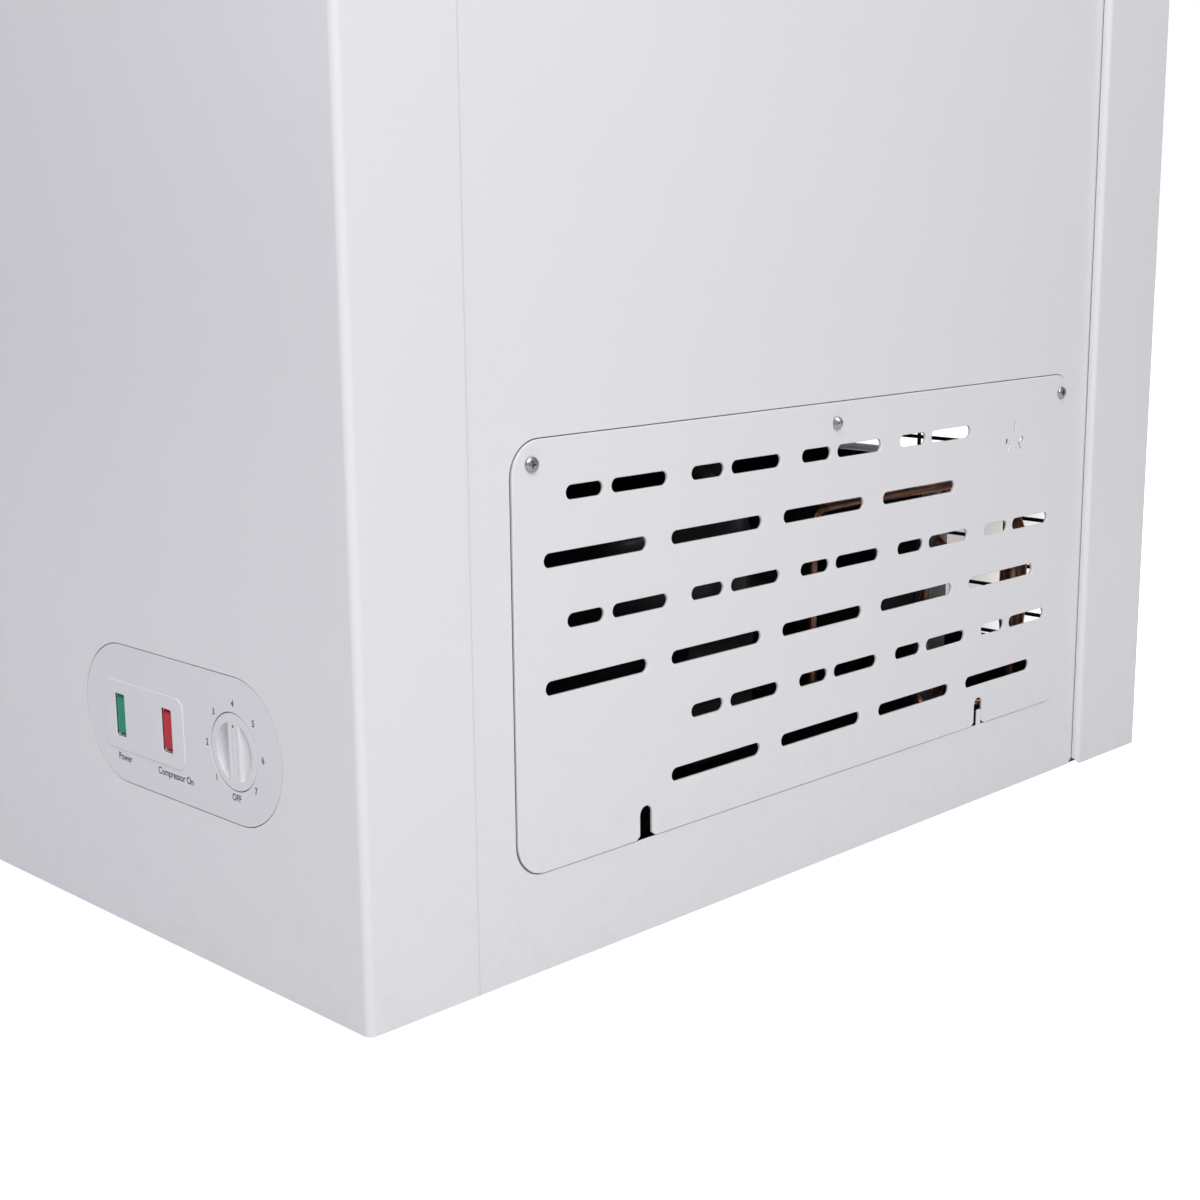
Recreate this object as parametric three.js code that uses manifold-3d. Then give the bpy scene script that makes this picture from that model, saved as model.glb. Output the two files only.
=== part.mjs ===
// Chest freezer: a foamed cabinet with a hinged lid, a stepped tub and a compressor compartment
// that breathes through a slotted plate in its right side. Millimetres, +Z up, front face to -Y.
// The origin is on the floor, under the middle of the cabinet.
import * as THREE from "three";
import { mergeVertices } from "three/addons/utils/BufferGeometryUtils.js";
import Module from "manifold-3d";

const wasm = await Module();
wasm.setup();

// ---- driving dimensions -------------------------------------------------------------------
const WIDTH = 1120; // cabinet, over the wrapped corner flanges
const DEPTH = 692; // cabinet, front face to rear face
const HEIGHT = 850; // floor to the top of the lid
const FOOT = 20; // floor to the bottom of the cabinet
const GAP = 0.3; // assembly gap between pieces that touch
const SHEET = 1; // painted steel skins
const CORNER = 6; // outside bend radius of the skins
const FRONT_FLANGE = 68; // length of the front skin's return on each side
const REAR_FLANGE = 75; // length of the rear skin's return on each side
const REAR_PROUD = 3.2; // the rear skin stands out this much further on each side
const TUCK = 12; // side skins reach this far under the flanges
const WALL = 70; // insulated wall, skin to tub
const LINER = 1.5; // tub
const SKIN_TOP = 783; // top edge of the skins and of the foam
const RIM_TOP = 791;
const LEDGE = 12; // ledge inside the rim that the basket hangs on
const LEDGE_TOP = 772;
const PLANT_WIDTH = 275; // compressor compartment, measured from the right skin
const PLANT_CEILING = 305;
const LID_OVERHANG = 4;
const LID_BOTTOM = 797;
const REACH = 19.5; // how far the handle and the hinges stand out from the cabinet
const VENT = { from: 95, to: 595, bottom: 51.5, top: 272.5, corner: 20 }; // from the front and the base
const SLOT = { height: 7.4, pitch: 91.6, rowPitch: 32.4, topRow: 243.7, length: 73 };
const PANEL = { right: 151, up: 120, width: 181, height: 75.6 }; // centre from the right side and the base
const KNOB = { right: 101.3, up: 119.2, radius: 19.9 };

const FRONT = -DEPTH / 2;
const REAR = DEPTH / 2;
const RIGHT = WIDTH / 2;
const PAN_TOP = FOOT + 2;
const TUB_X = RIGHT - WALL; // inside of the tub, half length
const TUB_Y = REAR - WALL;
const TUB_CORNER = 40;
const TUB_FLOOR = FOOT + WALL;
const STEP_TOP = PLANT_CEILING + WALL;
const STEP_X = RIGHT - PLANT_WIDTH - WALL; // tub wall beside the compartment
const PLANT_X = RIGHT - PLANT_WIDTH;

const fromFront = (distance) => FRONT + distance;
const fromRight = (distance) => RIGHT - distance;
const aboveBase = (distance) => FOOT + distance;

// ---- shape helpers ------------------------------------------------------------------------
function solidOf(geometry) {
  const bare = geometry.clone();
  bare.deleteAttribute("normal");
  bare.deleteAttribute("uv");
  const merged = mergeVertices(bare, 1e-4);
  const vertProperties = new Float32Array(merged.attributes.position.array);
  const triVerts = new Uint32Array(merged.index.array);
  return new wasm.Manifold(new wasm.Mesh({ numProp: 3, vertProperties, triVerts }));
}

function geometryOf(solid) {
  const mesh = solid.getMesh();
  const geometry = new THREE.BufferGeometry();
  geometry.setAttribute("position", new THREE.BufferAttribute(mesh.vertProperties, 3));
  geometry.setIndex(new THREE.BufferAttribute(mesh.triVerts, 1));
  geometry.computeVertexNormals();
  return geometry;
}

const cut = (base, ...tools) =>
  geometryOf(tools.reduce((solid, tool) => solid.subtract(solidOf(tool)), solidOf(base)));

const join = (base, ...others) =>
  geometryOf(others.reduce((solid, other) => solid.add(solidOf(other)), solidOf(base)));

// An axis-aligned block from its ranges along X, Y and Z.
function block([x0, x1], [y0, y1], [z0, z1]) {
  const geometry = new THREE.BoxGeometry(x1 - x0, y1 - y0, z1 - z0);
  return geometry.translate((x0 + x1) / 2, (y0 + y1) / 2, (z0 + z1) / 2);
}

// A rounded rectangle from its ranges along both directions.
function roundedRect([u0, u1], [v0, v1], r) {
  const shape = new THREE.Shape();
  shape.moveTo(u0 + r, v0);
  shape.lineTo(u1 - r, v0);
  shape.absarc(u1 - r, v0 + r, r, -Math.PI / 2, 0);
  shape.lineTo(u1, v1 - r);
  shape.absarc(u1 - r, v1 - r, r, 0, Math.PI / 2);
  shape.lineTo(u0 + r, v1);
  shape.absarc(u0 + r, v1 - r, r, Math.PI / 2, Math.PI);
  shape.lineTo(u0, v0 + r);
  shape.absarc(u0 + r, v0 + r, r, Math.PI, 1.5 * Math.PI);
  return shape;
}

// What lies between an outer and an inner plan, over a range of heights.
function ring(outer, inner, [z0, z1]) {
  return cut(alongZ(outer, [z0, z1], 6), alongZ(inner, [z0 - 1, z1 + 1], 6));
}

function disc(u, v, r) {
  return new THREE.Shape().absarc(u, v, r, 0, 2 * Math.PI);
}

// A closed polygon through the given points.
function outline(...points) {
  return new THREE.Shape(points.map(([u, v]) => new THREE.Vector2(u, v)));
}

// Bases that turn a drawn shape to face along X (drawn in Y, Z) or along Y (drawn in X, Z).
const FACING = {
  x: new THREE.Matrix4().makeBasis(
    new THREE.Vector3(0, 1, 0),
    new THREE.Vector3(0, 0, 1),
    new THREE.Vector3(1, 0, 0),
  ),
  y: new THREE.Matrix4().makeBasis(
    new THREE.Vector3(1, 0, 0),
    new THREE.Vector3(0, 0, 1),
    new THREE.Vector3(0, -1, 0),
  ),
};

function extrude(shape, depth, curveSegments) {
  return new THREE.ExtrudeGeometry(shape, { depth, bevelEnabled: false, curveSegments });
}

const alongX = (shape, [x0, x1], segments = 5) =>
  extrude(shape, x1 - x0, segments).applyMatrix4(FACING.x).translate(x0, 0, 0);

const alongY = (shape, [y0, y1], segments = 5) =>
  extrude(shape, y1 - y0, segments).applyMatrix4(FACING.y).translate(0, y1, 0);

const alongZ = (shape, [z0, z1], segments = 5) =>
  extrude(shape, z1 - z0, segments).translate(0, 0, z0);

// A solid of revolution about Z from [radius, height] pairs, listed from the bottom up.
function turned(profile, segments = 24) {
  const points = profile.map(([r, h]) => new THREE.Vector2(r, h));
  return new THREE.LatheGeometry(points, segments).rotateX(Math.PI / 2);
}

// A path that is sampled at exactly its own points, so a bent tube has steps only in its bends.
class Route extends THREE.Curve {
  constructor(points) {
    super();
    this.points = points;
  }
  index(u) {
    return Math.round(u * (this.points.length - 1));
  }
  getPointAt(u) {
    return this.points[this.index(u)].clone();
  }
  getTangentAt(u) {
    const i = this.index(u);
    const here = this.points[i];
    const tangent = new THREE.Vector3();
    if (i > 0) tangent.add(here.clone().sub(this.points[i - 1]).normalize());
    if (i < this.points.length - 1) tangent.add(this.points[i + 1].clone().sub(here).normalize());
    return tangent.normalize();
  }
}

// The corners of a polyline rounded to the given bend radius.
function bent(corners, radius, stepsPerBend = 4) {
  const given = corners.map(([x, y, z]) => new THREE.Vector3(x, y, z));
  const route = [given[0]];
  for (let i = 1; i < given.length - 1; i++) {
    const before = given[i].clone().sub(given[i - 1]).normalize();
    const after = given[i + 1].clone().sub(given[i]).normalize();
    const turn = before.angleTo(after);
    const side = after.clone().addScaledVector(before, -Math.cos(turn)).normalize();
    const start = given[i].clone().addScaledVector(before, -radius * Math.tan(turn / 2));
    const centre = start.clone().addScaledVector(side, radius);
    for (let step = 0; step <= stepsPerBend; step++) {
      const angle = (turn * step) / stepsPerBend;
      const point = centre.clone().addScaledVector(side, -radius * Math.cos(angle));
      route.push(point.addScaledVector(before, radius * Math.sin(angle)));
    }
  }
  route.push(given[given.length - 1]);
  return route;
}

function pipe(points, radius, sides = 8) {
  const section = new THREE.Shape();
  for (let i = 0; i < sides; i++) {
    const angle = (2 * Math.PI * i) / sides;
    section[i ? "lineTo" : "moveTo"](radius * Math.cos(angle), radius * Math.sin(angle));
  }
  section.closePath();
  return new THREE.ExtrudeGeometry(section, {
    steps: points.length - 1,
    bevelEnabled: false,
    extrudePath: new Route(points),
  });
}

// ---- finishes -----------------------------------------------------------------------------
const finish = (color, roughness, metalness = 0) =>
  new THREE.MeshStandardMaterial({ color, roughness, metalness });

const whiteEnamel = finish(0xe9e9ec, 0.25);
const whitePlastic = finish(0xe6e7ea, 0.45);
const foam = finish(0xe8dcae, 0.9);
const embossedAluminium = finish(0xd8dadc, 0.35, 0.9);
const galvanised = finish(0xa9adb0, 0.45, 0.9);
const zinc = finish(0xb4babd, 0.35, 1);
const blackEnamel = finish(0x0c0c0d, 0.3);
const blackPlastic = finish(0x161617, 0.5);
const copper = finish(0xb87040, 0.35, 1);
const rubber = finish(0x1a1a1a, 0.8);
const greyRubber = finish(0xb9bbbd, 0.7);
const aluminium = finish(0xc2c5c8, 0.4, 1);
const greenLens = finish(0x0a8a6b, 0.2);
const redLens = finish(0xb32035, 0.2);

const freezer = new THREE.Group();

function add(name, geometry, material) {
  const mesh = new THREE.Mesh(geometry, material);
  mesh.name = name;
  freezer.add(mesh);
}

// ---- cabinet skins ------------------------------------------------------------------------
// A skin that covers one face and wraps both corners; side is -1 in front, 1 behind. The edge of
// each flange turns inwards by the given lip.
function wrappedSkin(side, halfWidth, flange, lip) {
  const face = side * REAR;
  const end = face - side * flange;
  const bend = halfWidth - CORNER;
  const middle = (side * Math.PI) / 2;
  const shape = new THREE.Shape();
  const corner = (x, radius, from, to, clockwise) =>
    shape.absarc(x, face - side * CORNER, radius, from, to, clockwise);
  shape.moveTo(-halfWidth, end);
  shape.lineTo(-halfWidth, face - side * CORNER);
  corner(-bend, CORNER, Math.PI, middle, side > 0);
  corner(bend, CORNER, middle, 0, side > 0);
  shape.lineTo(halfWidth, end);
  shape.lineTo(halfWidth - lip, end);
  shape.lineTo(halfWidth - lip, end + side * SHEET);
  shape.lineTo(halfWidth - SHEET, end + side * SHEET);
  corner(bend, CORNER - SHEET, 0, middle, side < 0);
  corner(-bend, CORNER - SHEET, middle, Math.PI, side < 0);
  shape.lineTo(SHEET - halfWidth, end + side * SHEET);
  shape.lineTo(lip - halfWidth, end + side * SHEET);
  shape.lineTo(lip - halfWidth, end);
  return alongZ(shape, [FOOT, SKIN_TOP]);
}

const panelX = fromRight(PANEL.right);
const knobX = fromRight(KNOB.right);
const panelZ = aboveBase(PANEL.up);
const knobZ = aboveBase(KNOB.up);

function stadium(x, z, width, height) {
  const [halfWidth, halfHeight] = [width / 2, height / 2];
  return roundedRect(
    [x - halfWidth, x + halfWidth],
    [z - halfHeight, z + halfHeight],
    halfHeight - 0.01,
  );
}

const PANEL_GAP = 0.5; // all round the panel, in its hole
const PANEL_LAP = 3.5; // a flange behind the skin holds the panel
const PANEL_DEPTH = [FRONT - 0.9, FRONT + 2.5];
const panelBlock = (grown, depths) =>
  alongY(
    stadium(panelX, panelZ, PANEL.width + 2 * grown, PANEL.height + 2 * grown),
    depths,
    8,
  );
const FRONT_LIP = SHEET + 0.1;
add(
  "front_sheet",
  cut(wrappedSkin(-1, RIGHT, FRONT_FLANGE, FRONT_LIP), panelBlock(PANEL_GAP, [FRONT - 5, FRONT + 5])),
  whiteEnamel,
);

const SIDE_FACE = RIGHT - SHEET - 0.4; // the side skins lie under the flanges
const REAR_WIDTH = WIDTH + 2 * REAR_PROUD;
const BACK_OPENING = { x: [PLANT_X + 2, 541], z: [FOOT + 61, PLANT_CEILING - 1] };
const POST = { x: [542, 561.8], y: [284.6, REAR - SHEET - GAP] }; // corner post, along its legs
const GLAND = { x: 312, z: 52, radius: 9 };
const glandHole = alongY(disc(GLAND.x, GLAND.z, GLAND.radius + 0.6), [REAR - 8, REAR + 5], 6);
add(
  "rear_sheet",
  cut(
    wrappedSkin(1, REAR_WIDTH / 2, REAR_FLANGE, REAR_WIDTH / 2 - SIDE_FACE - GAP),
    block(BACK_OPENING.x, [REAR - 5, REAR + 5], BACK_OPENING.z),
    glandHole,
  ),
  whiteEnamel,
);

// Each seam is a step down from the flange to the side skin.
const sideY = [fromFront(FRONT_FLANGE - TUCK), REAR - REAR_FLANGE + TUCK];
add("left_side_sheet", block([-SIDE_FACE, SHEET - SIDE_FACE], sideY, [FOOT, SKIN_TOP]), whiteEnamel);

const ventY = [fromFront(VENT.from), fromFront(VENT.to)];
const ventZ = [aboveBase(VENT.bottom), aboveBase(VENT.top)];
const grow = ([low, high], by) => [low - by, high + by];
const VENT_GAP = 0.9;
const ventOpening = roundedRect(grow(ventY, VENT_GAP), grow(ventZ, VENT_GAP), VENT.corner);
const NOTCH = { width: 9.2, height: 18 };
const notchY = [188.5, 498.4].map(fromFront);
// The tongue that stands in the rear notch and locates the plate along the cabinet.
const tongue = block(
  [SIDE_FACE - SHEET, SIDE_FACE],
  [notchY[1] - NOTCH.width / 2 + 2, notchY[1] + NOTCH.width / 2 - GAP],
  [ventZ[0] - 2, ventZ[0] + NOTCH.height - 4.5],
);
add(
  "right_side_sheet",
  join(
    cut(
      block([SIDE_FACE - SHEET, SIDE_FACE], sideY, [FOOT, SKIN_TOP]),
      alongX(ventOpening, [SIDE_FACE - 5, SIDE_FACE + 5]),
    ),
    tongue,
  ),
  whiteEnamel,
);

// ---- base, foam and tub -------------------------------------------------------------------
const INSIDE = SIDE_FACE - SHEET - GAP; // half width inside the side skins
const INSIDE_Y = REAR - SHEET - GAP;
const insidePlan = roundedRect([-INSIDE, INSIDE], [-INSIDE_Y, INSIDE_Y], CORNER - SHEET);
const rearPlan = roundedRect(
  grow([0, 0], REAR_WIDTH / 2 - SHEET - GAP),
  [POST.y[0] - 1, INSIDE_Y],
  CORNER - SHEET,
);
const PAN_LIP = { side: 45, rear: 60, thickness: 2 };
const DRAIN = { x: -430, y: -225, radius: 14, bore: 11.5 };
const drainHole = (radius) =>
  alongZ(disc(DRAIN.x, DRAIN.y, radius), [FOOT - 10, TUB_FLOOR + 10], 8);

add(
  "base_pan",
  cut(
    join(
      alongZ(insidePlan, [FOOT, PAN_TOP], 2),
      block(
        [INSIDE - PAN_LIP.thickness, INSIDE],
        [-TUB_Y + 1, POST.y[0] - 1],
        [FOOT, FOOT + PAN_LIP.side],
      ),
      block(
        [PLANT_X + 2, POST.x[0] - 1],
        [INSIDE_Y - PAN_LIP.thickness, INSIDE_Y],
        [FOOT, FOOT + PAN_LIP.rear],
      ),
    ),
    drainHole(DRAIN.radius + GAP),
    glandHole,
  ),
  galvanised,
);

const COIL_BAND = [400, 740]; // the foam stands back from the tub here, for the evaporator coil
const COIL_ROOM = 9.5;
const CONTROL_BOX = { x: [311, 519], y: [PANEL_DEPTH[1] + GAP, -284], z: [101, 179], wall: 2 };

// The tub's plan, grown outwards by an allowance, from its left end to the given right end.
const tubPlan = (allowance, rightEnd) =>
  roundedRect(
    [-TUB_X - allowance, rightEnd + allowance],
    [-TUB_Y - allowance, TUB_Y + allowance],
    TUB_CORNER + allowance,
  );
const tubHollow = (allowance, top) =>
  join(
    alongZ(tubPlan(allowance, TUB_X), [STEP_TOP - allowance, top]),
    alongZ(tubPlan(allowance, STEP_X), [TUB_FLOOR - allowance, STEP_TOP + 1]),
  );
const TUB_TOP = LEDGE_TOP - 7;

add(
  "foam_core",
  cut(
    join(
      alongZ(insidePlan, [PAN_TOP + GAP, SKIN_TOP], 2),
      alongZ(rearPlan, [PAN_TOP + GAP, SKIN_TOP], 2),
    ),
    tubHollow(LINER + GAP, SKIN_TOP + 1),
    alongZ(tubPlan(COIL_ROOM, TUB_X), COIL_BAND),
    alongZ(tubPlan(LEDGE + 4, TUB_X), [TUB_TOP, SKIN_TOP + 1]),
    block([PLANT_X, REAR_WIDTH / 2], [-TUB_Y, REAR], [FOOT, PLANT_CEILING]),
    block(grow(CONTROL_BOX.x, GAP), [FRONT, 0 - TUB_Y + 1], grow(CONTROL_BOX.z, GAP)),
    panelBlock(PANEL_LAP + GAP, [FRONT, PANEL_DEPTH[1] + GAP]),
    drainHole(DRAIN.radius + GAP),
  ),
  foam,
);

// A folded sheet that lines the compartment's top, front and left faces, clear of the foam.
const LINED = { x: PLANT_X + GAP, y: GAP - TUB_Y, z: PLANT_CEILING - GAP, sheet: 0.8 };
const LINED_RIGHT = { front: 555, top: 557 }; // right ends of the front and top plates
const PLANT_TOP = LINED.z - LINED.sheet - GAP; // the pipes end below the lining
const LINING_END = INSIDE_Y - PAN_LIP.thickness - GAP;
const FOLD = 0.15; // each plate of the lining stands in from the one it is folded from
const SENSOR_HOLE = 6;
add(
  "compartment_lining",
  cut(
    join(
      block(
        [LINED.x, LINED.x + LINED.sheet],
        [LINED.y + FOLD, LINING_END - FOLD],
        [PAN_TOP + GAP, LINED.z - FOLD],
      ),
      block(
        [LINED.x + FOLD, LINED_RIGHT.front],
        [LINED.y, LINED.y + LINED.sheet],
        [PAN_TOP + GAP + FOLD, LINED.z - 2 * FOLD],
      ),
      block(
        [LINED.x + 2 * FOLD, LINED_RIGHT.top],
        [LINED.y + 2 * FOLD, LINING_END],
        [LINED.z - LINED.sheet, LINED.z],
      ),
    ),
    alongY(disc(knobX, knobZ + 8, SENSOR_HOLE), [LINED.y - 5, LINED.y + 5], 4),
  ),
  blackEnamel,
);

add(
  "inner_tub",
  cut(tubHollow(LINER, TUB_TOP), tubHollow(0, TUB_TOP + 1), drainHole(DRAIN.radius + GAP)),
  embossedAluminium,
);
add(
  "drain_tube",
  ring(
    disc(DRAIN.x, DRAIN.y, DRAIN.radius),
    disc(DRAIN.x, DRAIN.y, DRAIN.bore),
    [FOOT - 6, TUB_FLOOR],
  ),
  whitePlastic,
);
add(
  "drain_plug",
  turned([
    [0, TUB_FLOOR - 22],
    [DRAIN.bore - 1.5, TUB_FLOOR - 22],
    [DRAIN.bore - 0.5, TUB_FLOOR - 18],
    [DRAIN.bore - 0.5, TUB_FLOOR + GAP],
    [DRAIN.radius + 3, TUB_FLOOR + GAP],
    [DRAIN.radius + 2, TUB_FLOOR + 4],
    [0, TUB_FLOOR + 4],
  ]).translate(DRAIN.x, DRAIN.y, 0),
  greyRubber,
);

// ---- rim round the mouth, with the ledge that the basket slides on -------------------------
const MOUTH = -2; // the rim covers the tub's edge by this much
const rimOuter = roundedRect([-REAR_WIDTH / 2, REAR_WIDTH / 2], [FRONT, REAR], CORNER);
add(
  "top_rim",
  join(
    ring(rimOuter, tubPlan(LEDGE, TUB_X), [SKIN_TOP + GAP, RIM_TOP]),
    ring(tubPlan(LEDGE + 3.5, TUB_X), tubPlan(LEDGE, TUB_X), [TUB_TOP + GAP, RIM_TOP]),
    ring(tubPlan(LEDGE + 1, TUB_X), tubPlan(MOUTH, TUB_X), [TUB_TOP + GAP, LEDGE_TOP]),
  ),
  whitePlastic,
);

// ---- side vent: slotted plate, the frame behind it and its screws --------------------------
const PLATE = [SIDE_FACE - 1.2, SIDE_FACE + 0.3];
const SCREW_Z = aboveBase(260.2);
const screwY = [109, 345.7, 582.4].map(fromFront);
const SCREW_SHANK = 2;
const SLOT_START = 116.9; // first slot of the long rows, from the front
const PAIR_SHIFT = 15.6; // rows of paired slots start this much further back
const PAIR = { short: 25.8, gap: 6.1 };
// Which columns each row fills: the rows alternate between a short-and-medium pair and a long slot.
const SLOT_ROWS = [
  { paired: true, first: 0, count: 4 },
  { paired: false, first: 0, count: 4 },
  { paired: true, first: 0, count: 5 },
  { paired: false, first: 0, count: 5 },
  { paired: true, first: 1, count: 4 },
  { paired: false, first: 1, count: 4 },
];

function ventSlots() {
  const slots = [];
  const slot = (start, length, z) => {
    const half = SLOT.height / 2;
    const y0 = fromFront(start);
    const shape = roundedRect([y0, y0 + length], [z - half, z + half], half - 0.01);
    slots.push(alongX(shape, grow(PLATE, 2), 1));
  };
  SLOT_ROWS.forEach(({ paired, first, count }, row) => {
    const z = aboveBase(SLOT.topRow - row * SLOT.rowPitch);
    for (let column = first; column < first + count; column++) {
      const start = SLOT_START + column * SLOT.pitch + (paired ? PAIR_SHIFT : 0);
      if (paired) {
        slot(start, PAIR.short, z);
        slot(start + PAIR.short + PAIR.gap, SLOT.length - PAIR.short - PAIR.gap, z);
      } else {
        slot(start, SLOT.length, z);
      }
    }
  });
  return slots;
}

// Two arched notches in the bottom edge; the plate is hooked over a tongue of the side skin.
function ventNotches() {
  const top = ventZ[0] + NOTCH.height;
  return notchY.map((y) => {
    const arch = roundedRect(grow([y, y], NOTCH.width / 2), [top - 30, top], NOTCH.width / 2 - 0.1);
    return alongX(arch, grow(PLATE, 2), 3);
  });
}

// Three pierced cuts in a Y: a slit above, and a keyhole on each side below.
function piercedCuts() {
  const y = fromFront(530);
  const z = aboveBase(234);
  const slit = (u, v, length, width, tilt) =>
    alongX(
      outline(
        [-width / 2, -length / 2],
        [width / 2, -length / 2],
        [width / 2, length / 2],
        [-width / 2, length / 2],
      ),
      grow(PLATE, 2),
    )
      .rotateX(tilt)
      .translate(0, y + u, z + v);
  const keyhole = (side) => {
    const tail = slit(side * 7.2, -5.5, 7, 1, side * -0.5);
    const head = alongX(disc(y + side * 9.6, z - 0.5, 1.9), grow(PLATE, 2), 4);
    return [tail, head];
  };
  return [slit(0, 8.2, 7, 1, 0), ...keyhole(-1), ...keyhole(1)];
}

add(
  "vent_grille",
  cut(
    alongX(roundedRect(ventY, ventZ, VENT.corner - 0.5), PLATE, 6),
    ...ventSlots(),
    ...ventNotches(),
    ...piercedCuts(),
    ...screwY.map((y) => alongX(disc(y, SCREW_Z, SCREW_SHANK + GAP), grow(PLATE, 2), 4)),
  ),
  whiteEnamel,
);

// An arch of folded strip behind the plate's top and ends; the screws bite into it.
const FRAME = [PLATE[0] - GAP - 2.2, PLATE[0] - GAP];
add(
  "vent_frame",
  cut(
    block(FRAME, grow(ventY, 10), [aboveBase(VENT.bottom), aboveBase(VENT.top + 10)]),
    block(
      grow(FRAME, 1),
      [fromFront(111.5), fromFront(578)],
      [aboveBase(VENT.bottom - 1), aboveBase(252)],
    ),
    ...screwY.map((y) => alongX(disc(y, SCREW_Z, SCREW_SHANK + GAP), grow(FRAME, 1), 4)),
  ),
  galvanised,
);

function crossHeadScrew() {
  const screw = turned(
    [
      [0, -9],
      [SCREW_SHANK, -8],
      [SCREW_SHANK, GAP],
      [4, GAP],
      [3.9, 1],
      [3.1, 1.9],
      [1.6, 2.4],
      [0, 2.5],
    ],
    16,
  );
  const recess = [0, Math.PI / 2].map((turn) =>
    block([-2.1, 2.1], [-0.45, 0.45], [1.2, 4]).rotateZ(turn + Math.PI / 4),
  );
  return cut(screw, ...recess).rotateY(Math.PI / 2);
}
screwY.forEach((y, i) =>
  add(`grille_screw_${i + 1}`, crossHeadScrew().translate(PLATE[1], y, SCREW_Z), zinc),
);

// ---- compressor compartment: rear guard and corner post ------------------------------------
add(
  "rear_corner_post",
  alongZ(
    outline(
      [POST.x[0], POST.y[1]],
      [POST.x[0], POST.y[1] - 2],
      [POST.x[1] - 2, POST.y[1] - 5],
      [POST.x[1] - 2, POST.y[0]],
      [POST.x[1], POST.y[0]],
      [POST.x[1], POST.y[1] - 5],
      [POST.x[1] - 3, POST.y[1]],
    ),
    [PAN_TOP + GAP, PLANT_TOP],
  ),
  blackEnamel,
);

// A welded guard of black wire inside the rear opening: a rim, cross wires and two uprights.
function rearGuard() {
  const y = INSIDE_Y - 6;
  const [x0, x1] = grow(BACK_OPENING.x, -5);
  const [z0, z1] = grow(BACK_OPENING.z, -5);
  const rod = (a, b) => pipe([new THREE.Vector3(...a), new THREE.Vector3(...b)], 2, 6);
  const crossWires = 6;
  const wires = [];
  for (let i = 0; i < crossWires; i++) {
    const z = z0 + ((z1 - z0) * i) / (crossWires - 1);
    wires.push(rod([x0 - 2, y, z], [x1 + 2, y, z]));
  }
  for (const x of [x0, (x0 + x1) / 2, x1]) wires.push(rod([x, y, z0 - 2], [x, y, z1 + 2]));
  return join(...wires);
}
add("rear_guard", rearGuard(), blackEnamel);
add(
  "cord_gland",
  cut(
    turned([
      [0, -8],
      [GLAND.radius + 3, -8],
      [GLAND.radius + 3, -4 - GAP],
      [GLAND.radius, -4 - GAP],
      [GLAND.radius, GAP],
      [GLAND.radius + 4, GAP],
      [GLAND.radius + 3, 4],
      [GLAND.radius - 2, 6],
      [0, 6],
    ]).rotateX(-Math.PI / 2),
    alongY(disc(0, 0, 4), [-10, 10], 4),
  ).translate(GLAND.x, REAR, GLAND.z),
  blackPlastic,
);

// ---- compressor on its rubber mounts -------------------------------------------------------
const COMPRESSOR = { x: 412, y: -22, radius: 80, bottom: 46, top: 256 };
const GROMMET_TOP = 40;
const EAR = { x: 62, y: 88 };
add(
  "compressor_shell",
  turned(
    [
      [0, COMPRESSOR.bottom],
      [46, COMPRESSOR.bottom + 3],
      [68, COMPRESSOR.bottom + 16],
      [77, COMPRESSOR.bottom + 38],
      [COMPRESSOR.radius - 1, COMPRESSOR.bottom + 60],
      [COMPRESSOR.radius - 1, COMPRESSOR.bottom + 118],
      [COMPRESSOR.radius + 3, COMPRESSOR.bottom + 120],
      [COMPRESSOR.radius + 3, COMPRESSOR.bottom + 126],
      [COMPRESSOR.radius - 1, COMPRESSOR.bottom + 128],
      [COMPRESSOR.radius - 2, COMPRESSOR.bottom + 158],
      [72, COMPRESSOR.top - 28],
      [56, COMPRESSOR.top - 11],
      [30, COMPRESSOR.top - 2],
      [0, COMPRESSOR.top],
    ],
    24,
  ).translate(COMPRESSOR.x, COMPRESSOR.y, 0),
  blackEnamel,
);
add(
  "compressor_feet",
  alongZ(
    roundedRect(
      [COMPRESSOR.x - EAR.x - 14, COMPRESSOR.x + EAR.x + 14],
      [COMPRESSOR.y - EAR.y - 14, COMPRESSOR.y + EAR.y + 14],
      14,
    ),
    [GROMMET_TOP + GAP, COMPRESSOR.bottom - GAP],
    4,
  ),
  blackEnamel,
);
let grommetNumber = 0;
for (const side of [-1, 1]) {
  for (const end of [-1, 1]) {
    grommetNumber += 1;
    add(
      `compressor_grommet_${grommetNumber}`,
      turned(
        [
          [0, PAN_TOP + GAP],
          [13, PAN_TOP + GAP],
          [11, PAN_TOP + 9],
          [13, GROMMET_TOP],
          [0, GROMMET_TOP],
        ],
        12,
      ).translate(COMPRESSOR.x + side * EAR.x, COMPRESSOR.y + end * EAR.y, 0),
      rubber,
    );
  }
}
const RELAY = { x: [COMPRESSOR.x + 90, COMPRESSOR.x + 124], y: [-98, -44], z: [92, 164] };
add("relay_cover", alongX(roundedRect(RELAY.y, RELAY.z, 5), RELAY.x, 3), blackPlastic);

// ---- condenser, its fan and the pipework ---------------------------------------------------
const CONDENSER = { x: [300, 478], y: [200, 245], z: [PAN_TOP + 6, 235] };
add(
  "condenser_block",
  join(
    block(grow(CONDENSER.x, -8), CONDENSER.y, grow(CONDENSER.z, -3)),
    block([CONDENSER.x[0], CONDENSER.x[0] + 8], CONDENSER.y, CONDENSER.z),
    block([CONDENSER.x[1] - 8, CONDENSER.x[1]], CONDENSER.y, CONDENSER.z),
    block([CONDENSER.x[0], CONDENSER.x[1]], CONDENSER.y, [PAN_TOP + GAP, PAN_TOP + 9]),
  ),
  aluminium,
);

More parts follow.
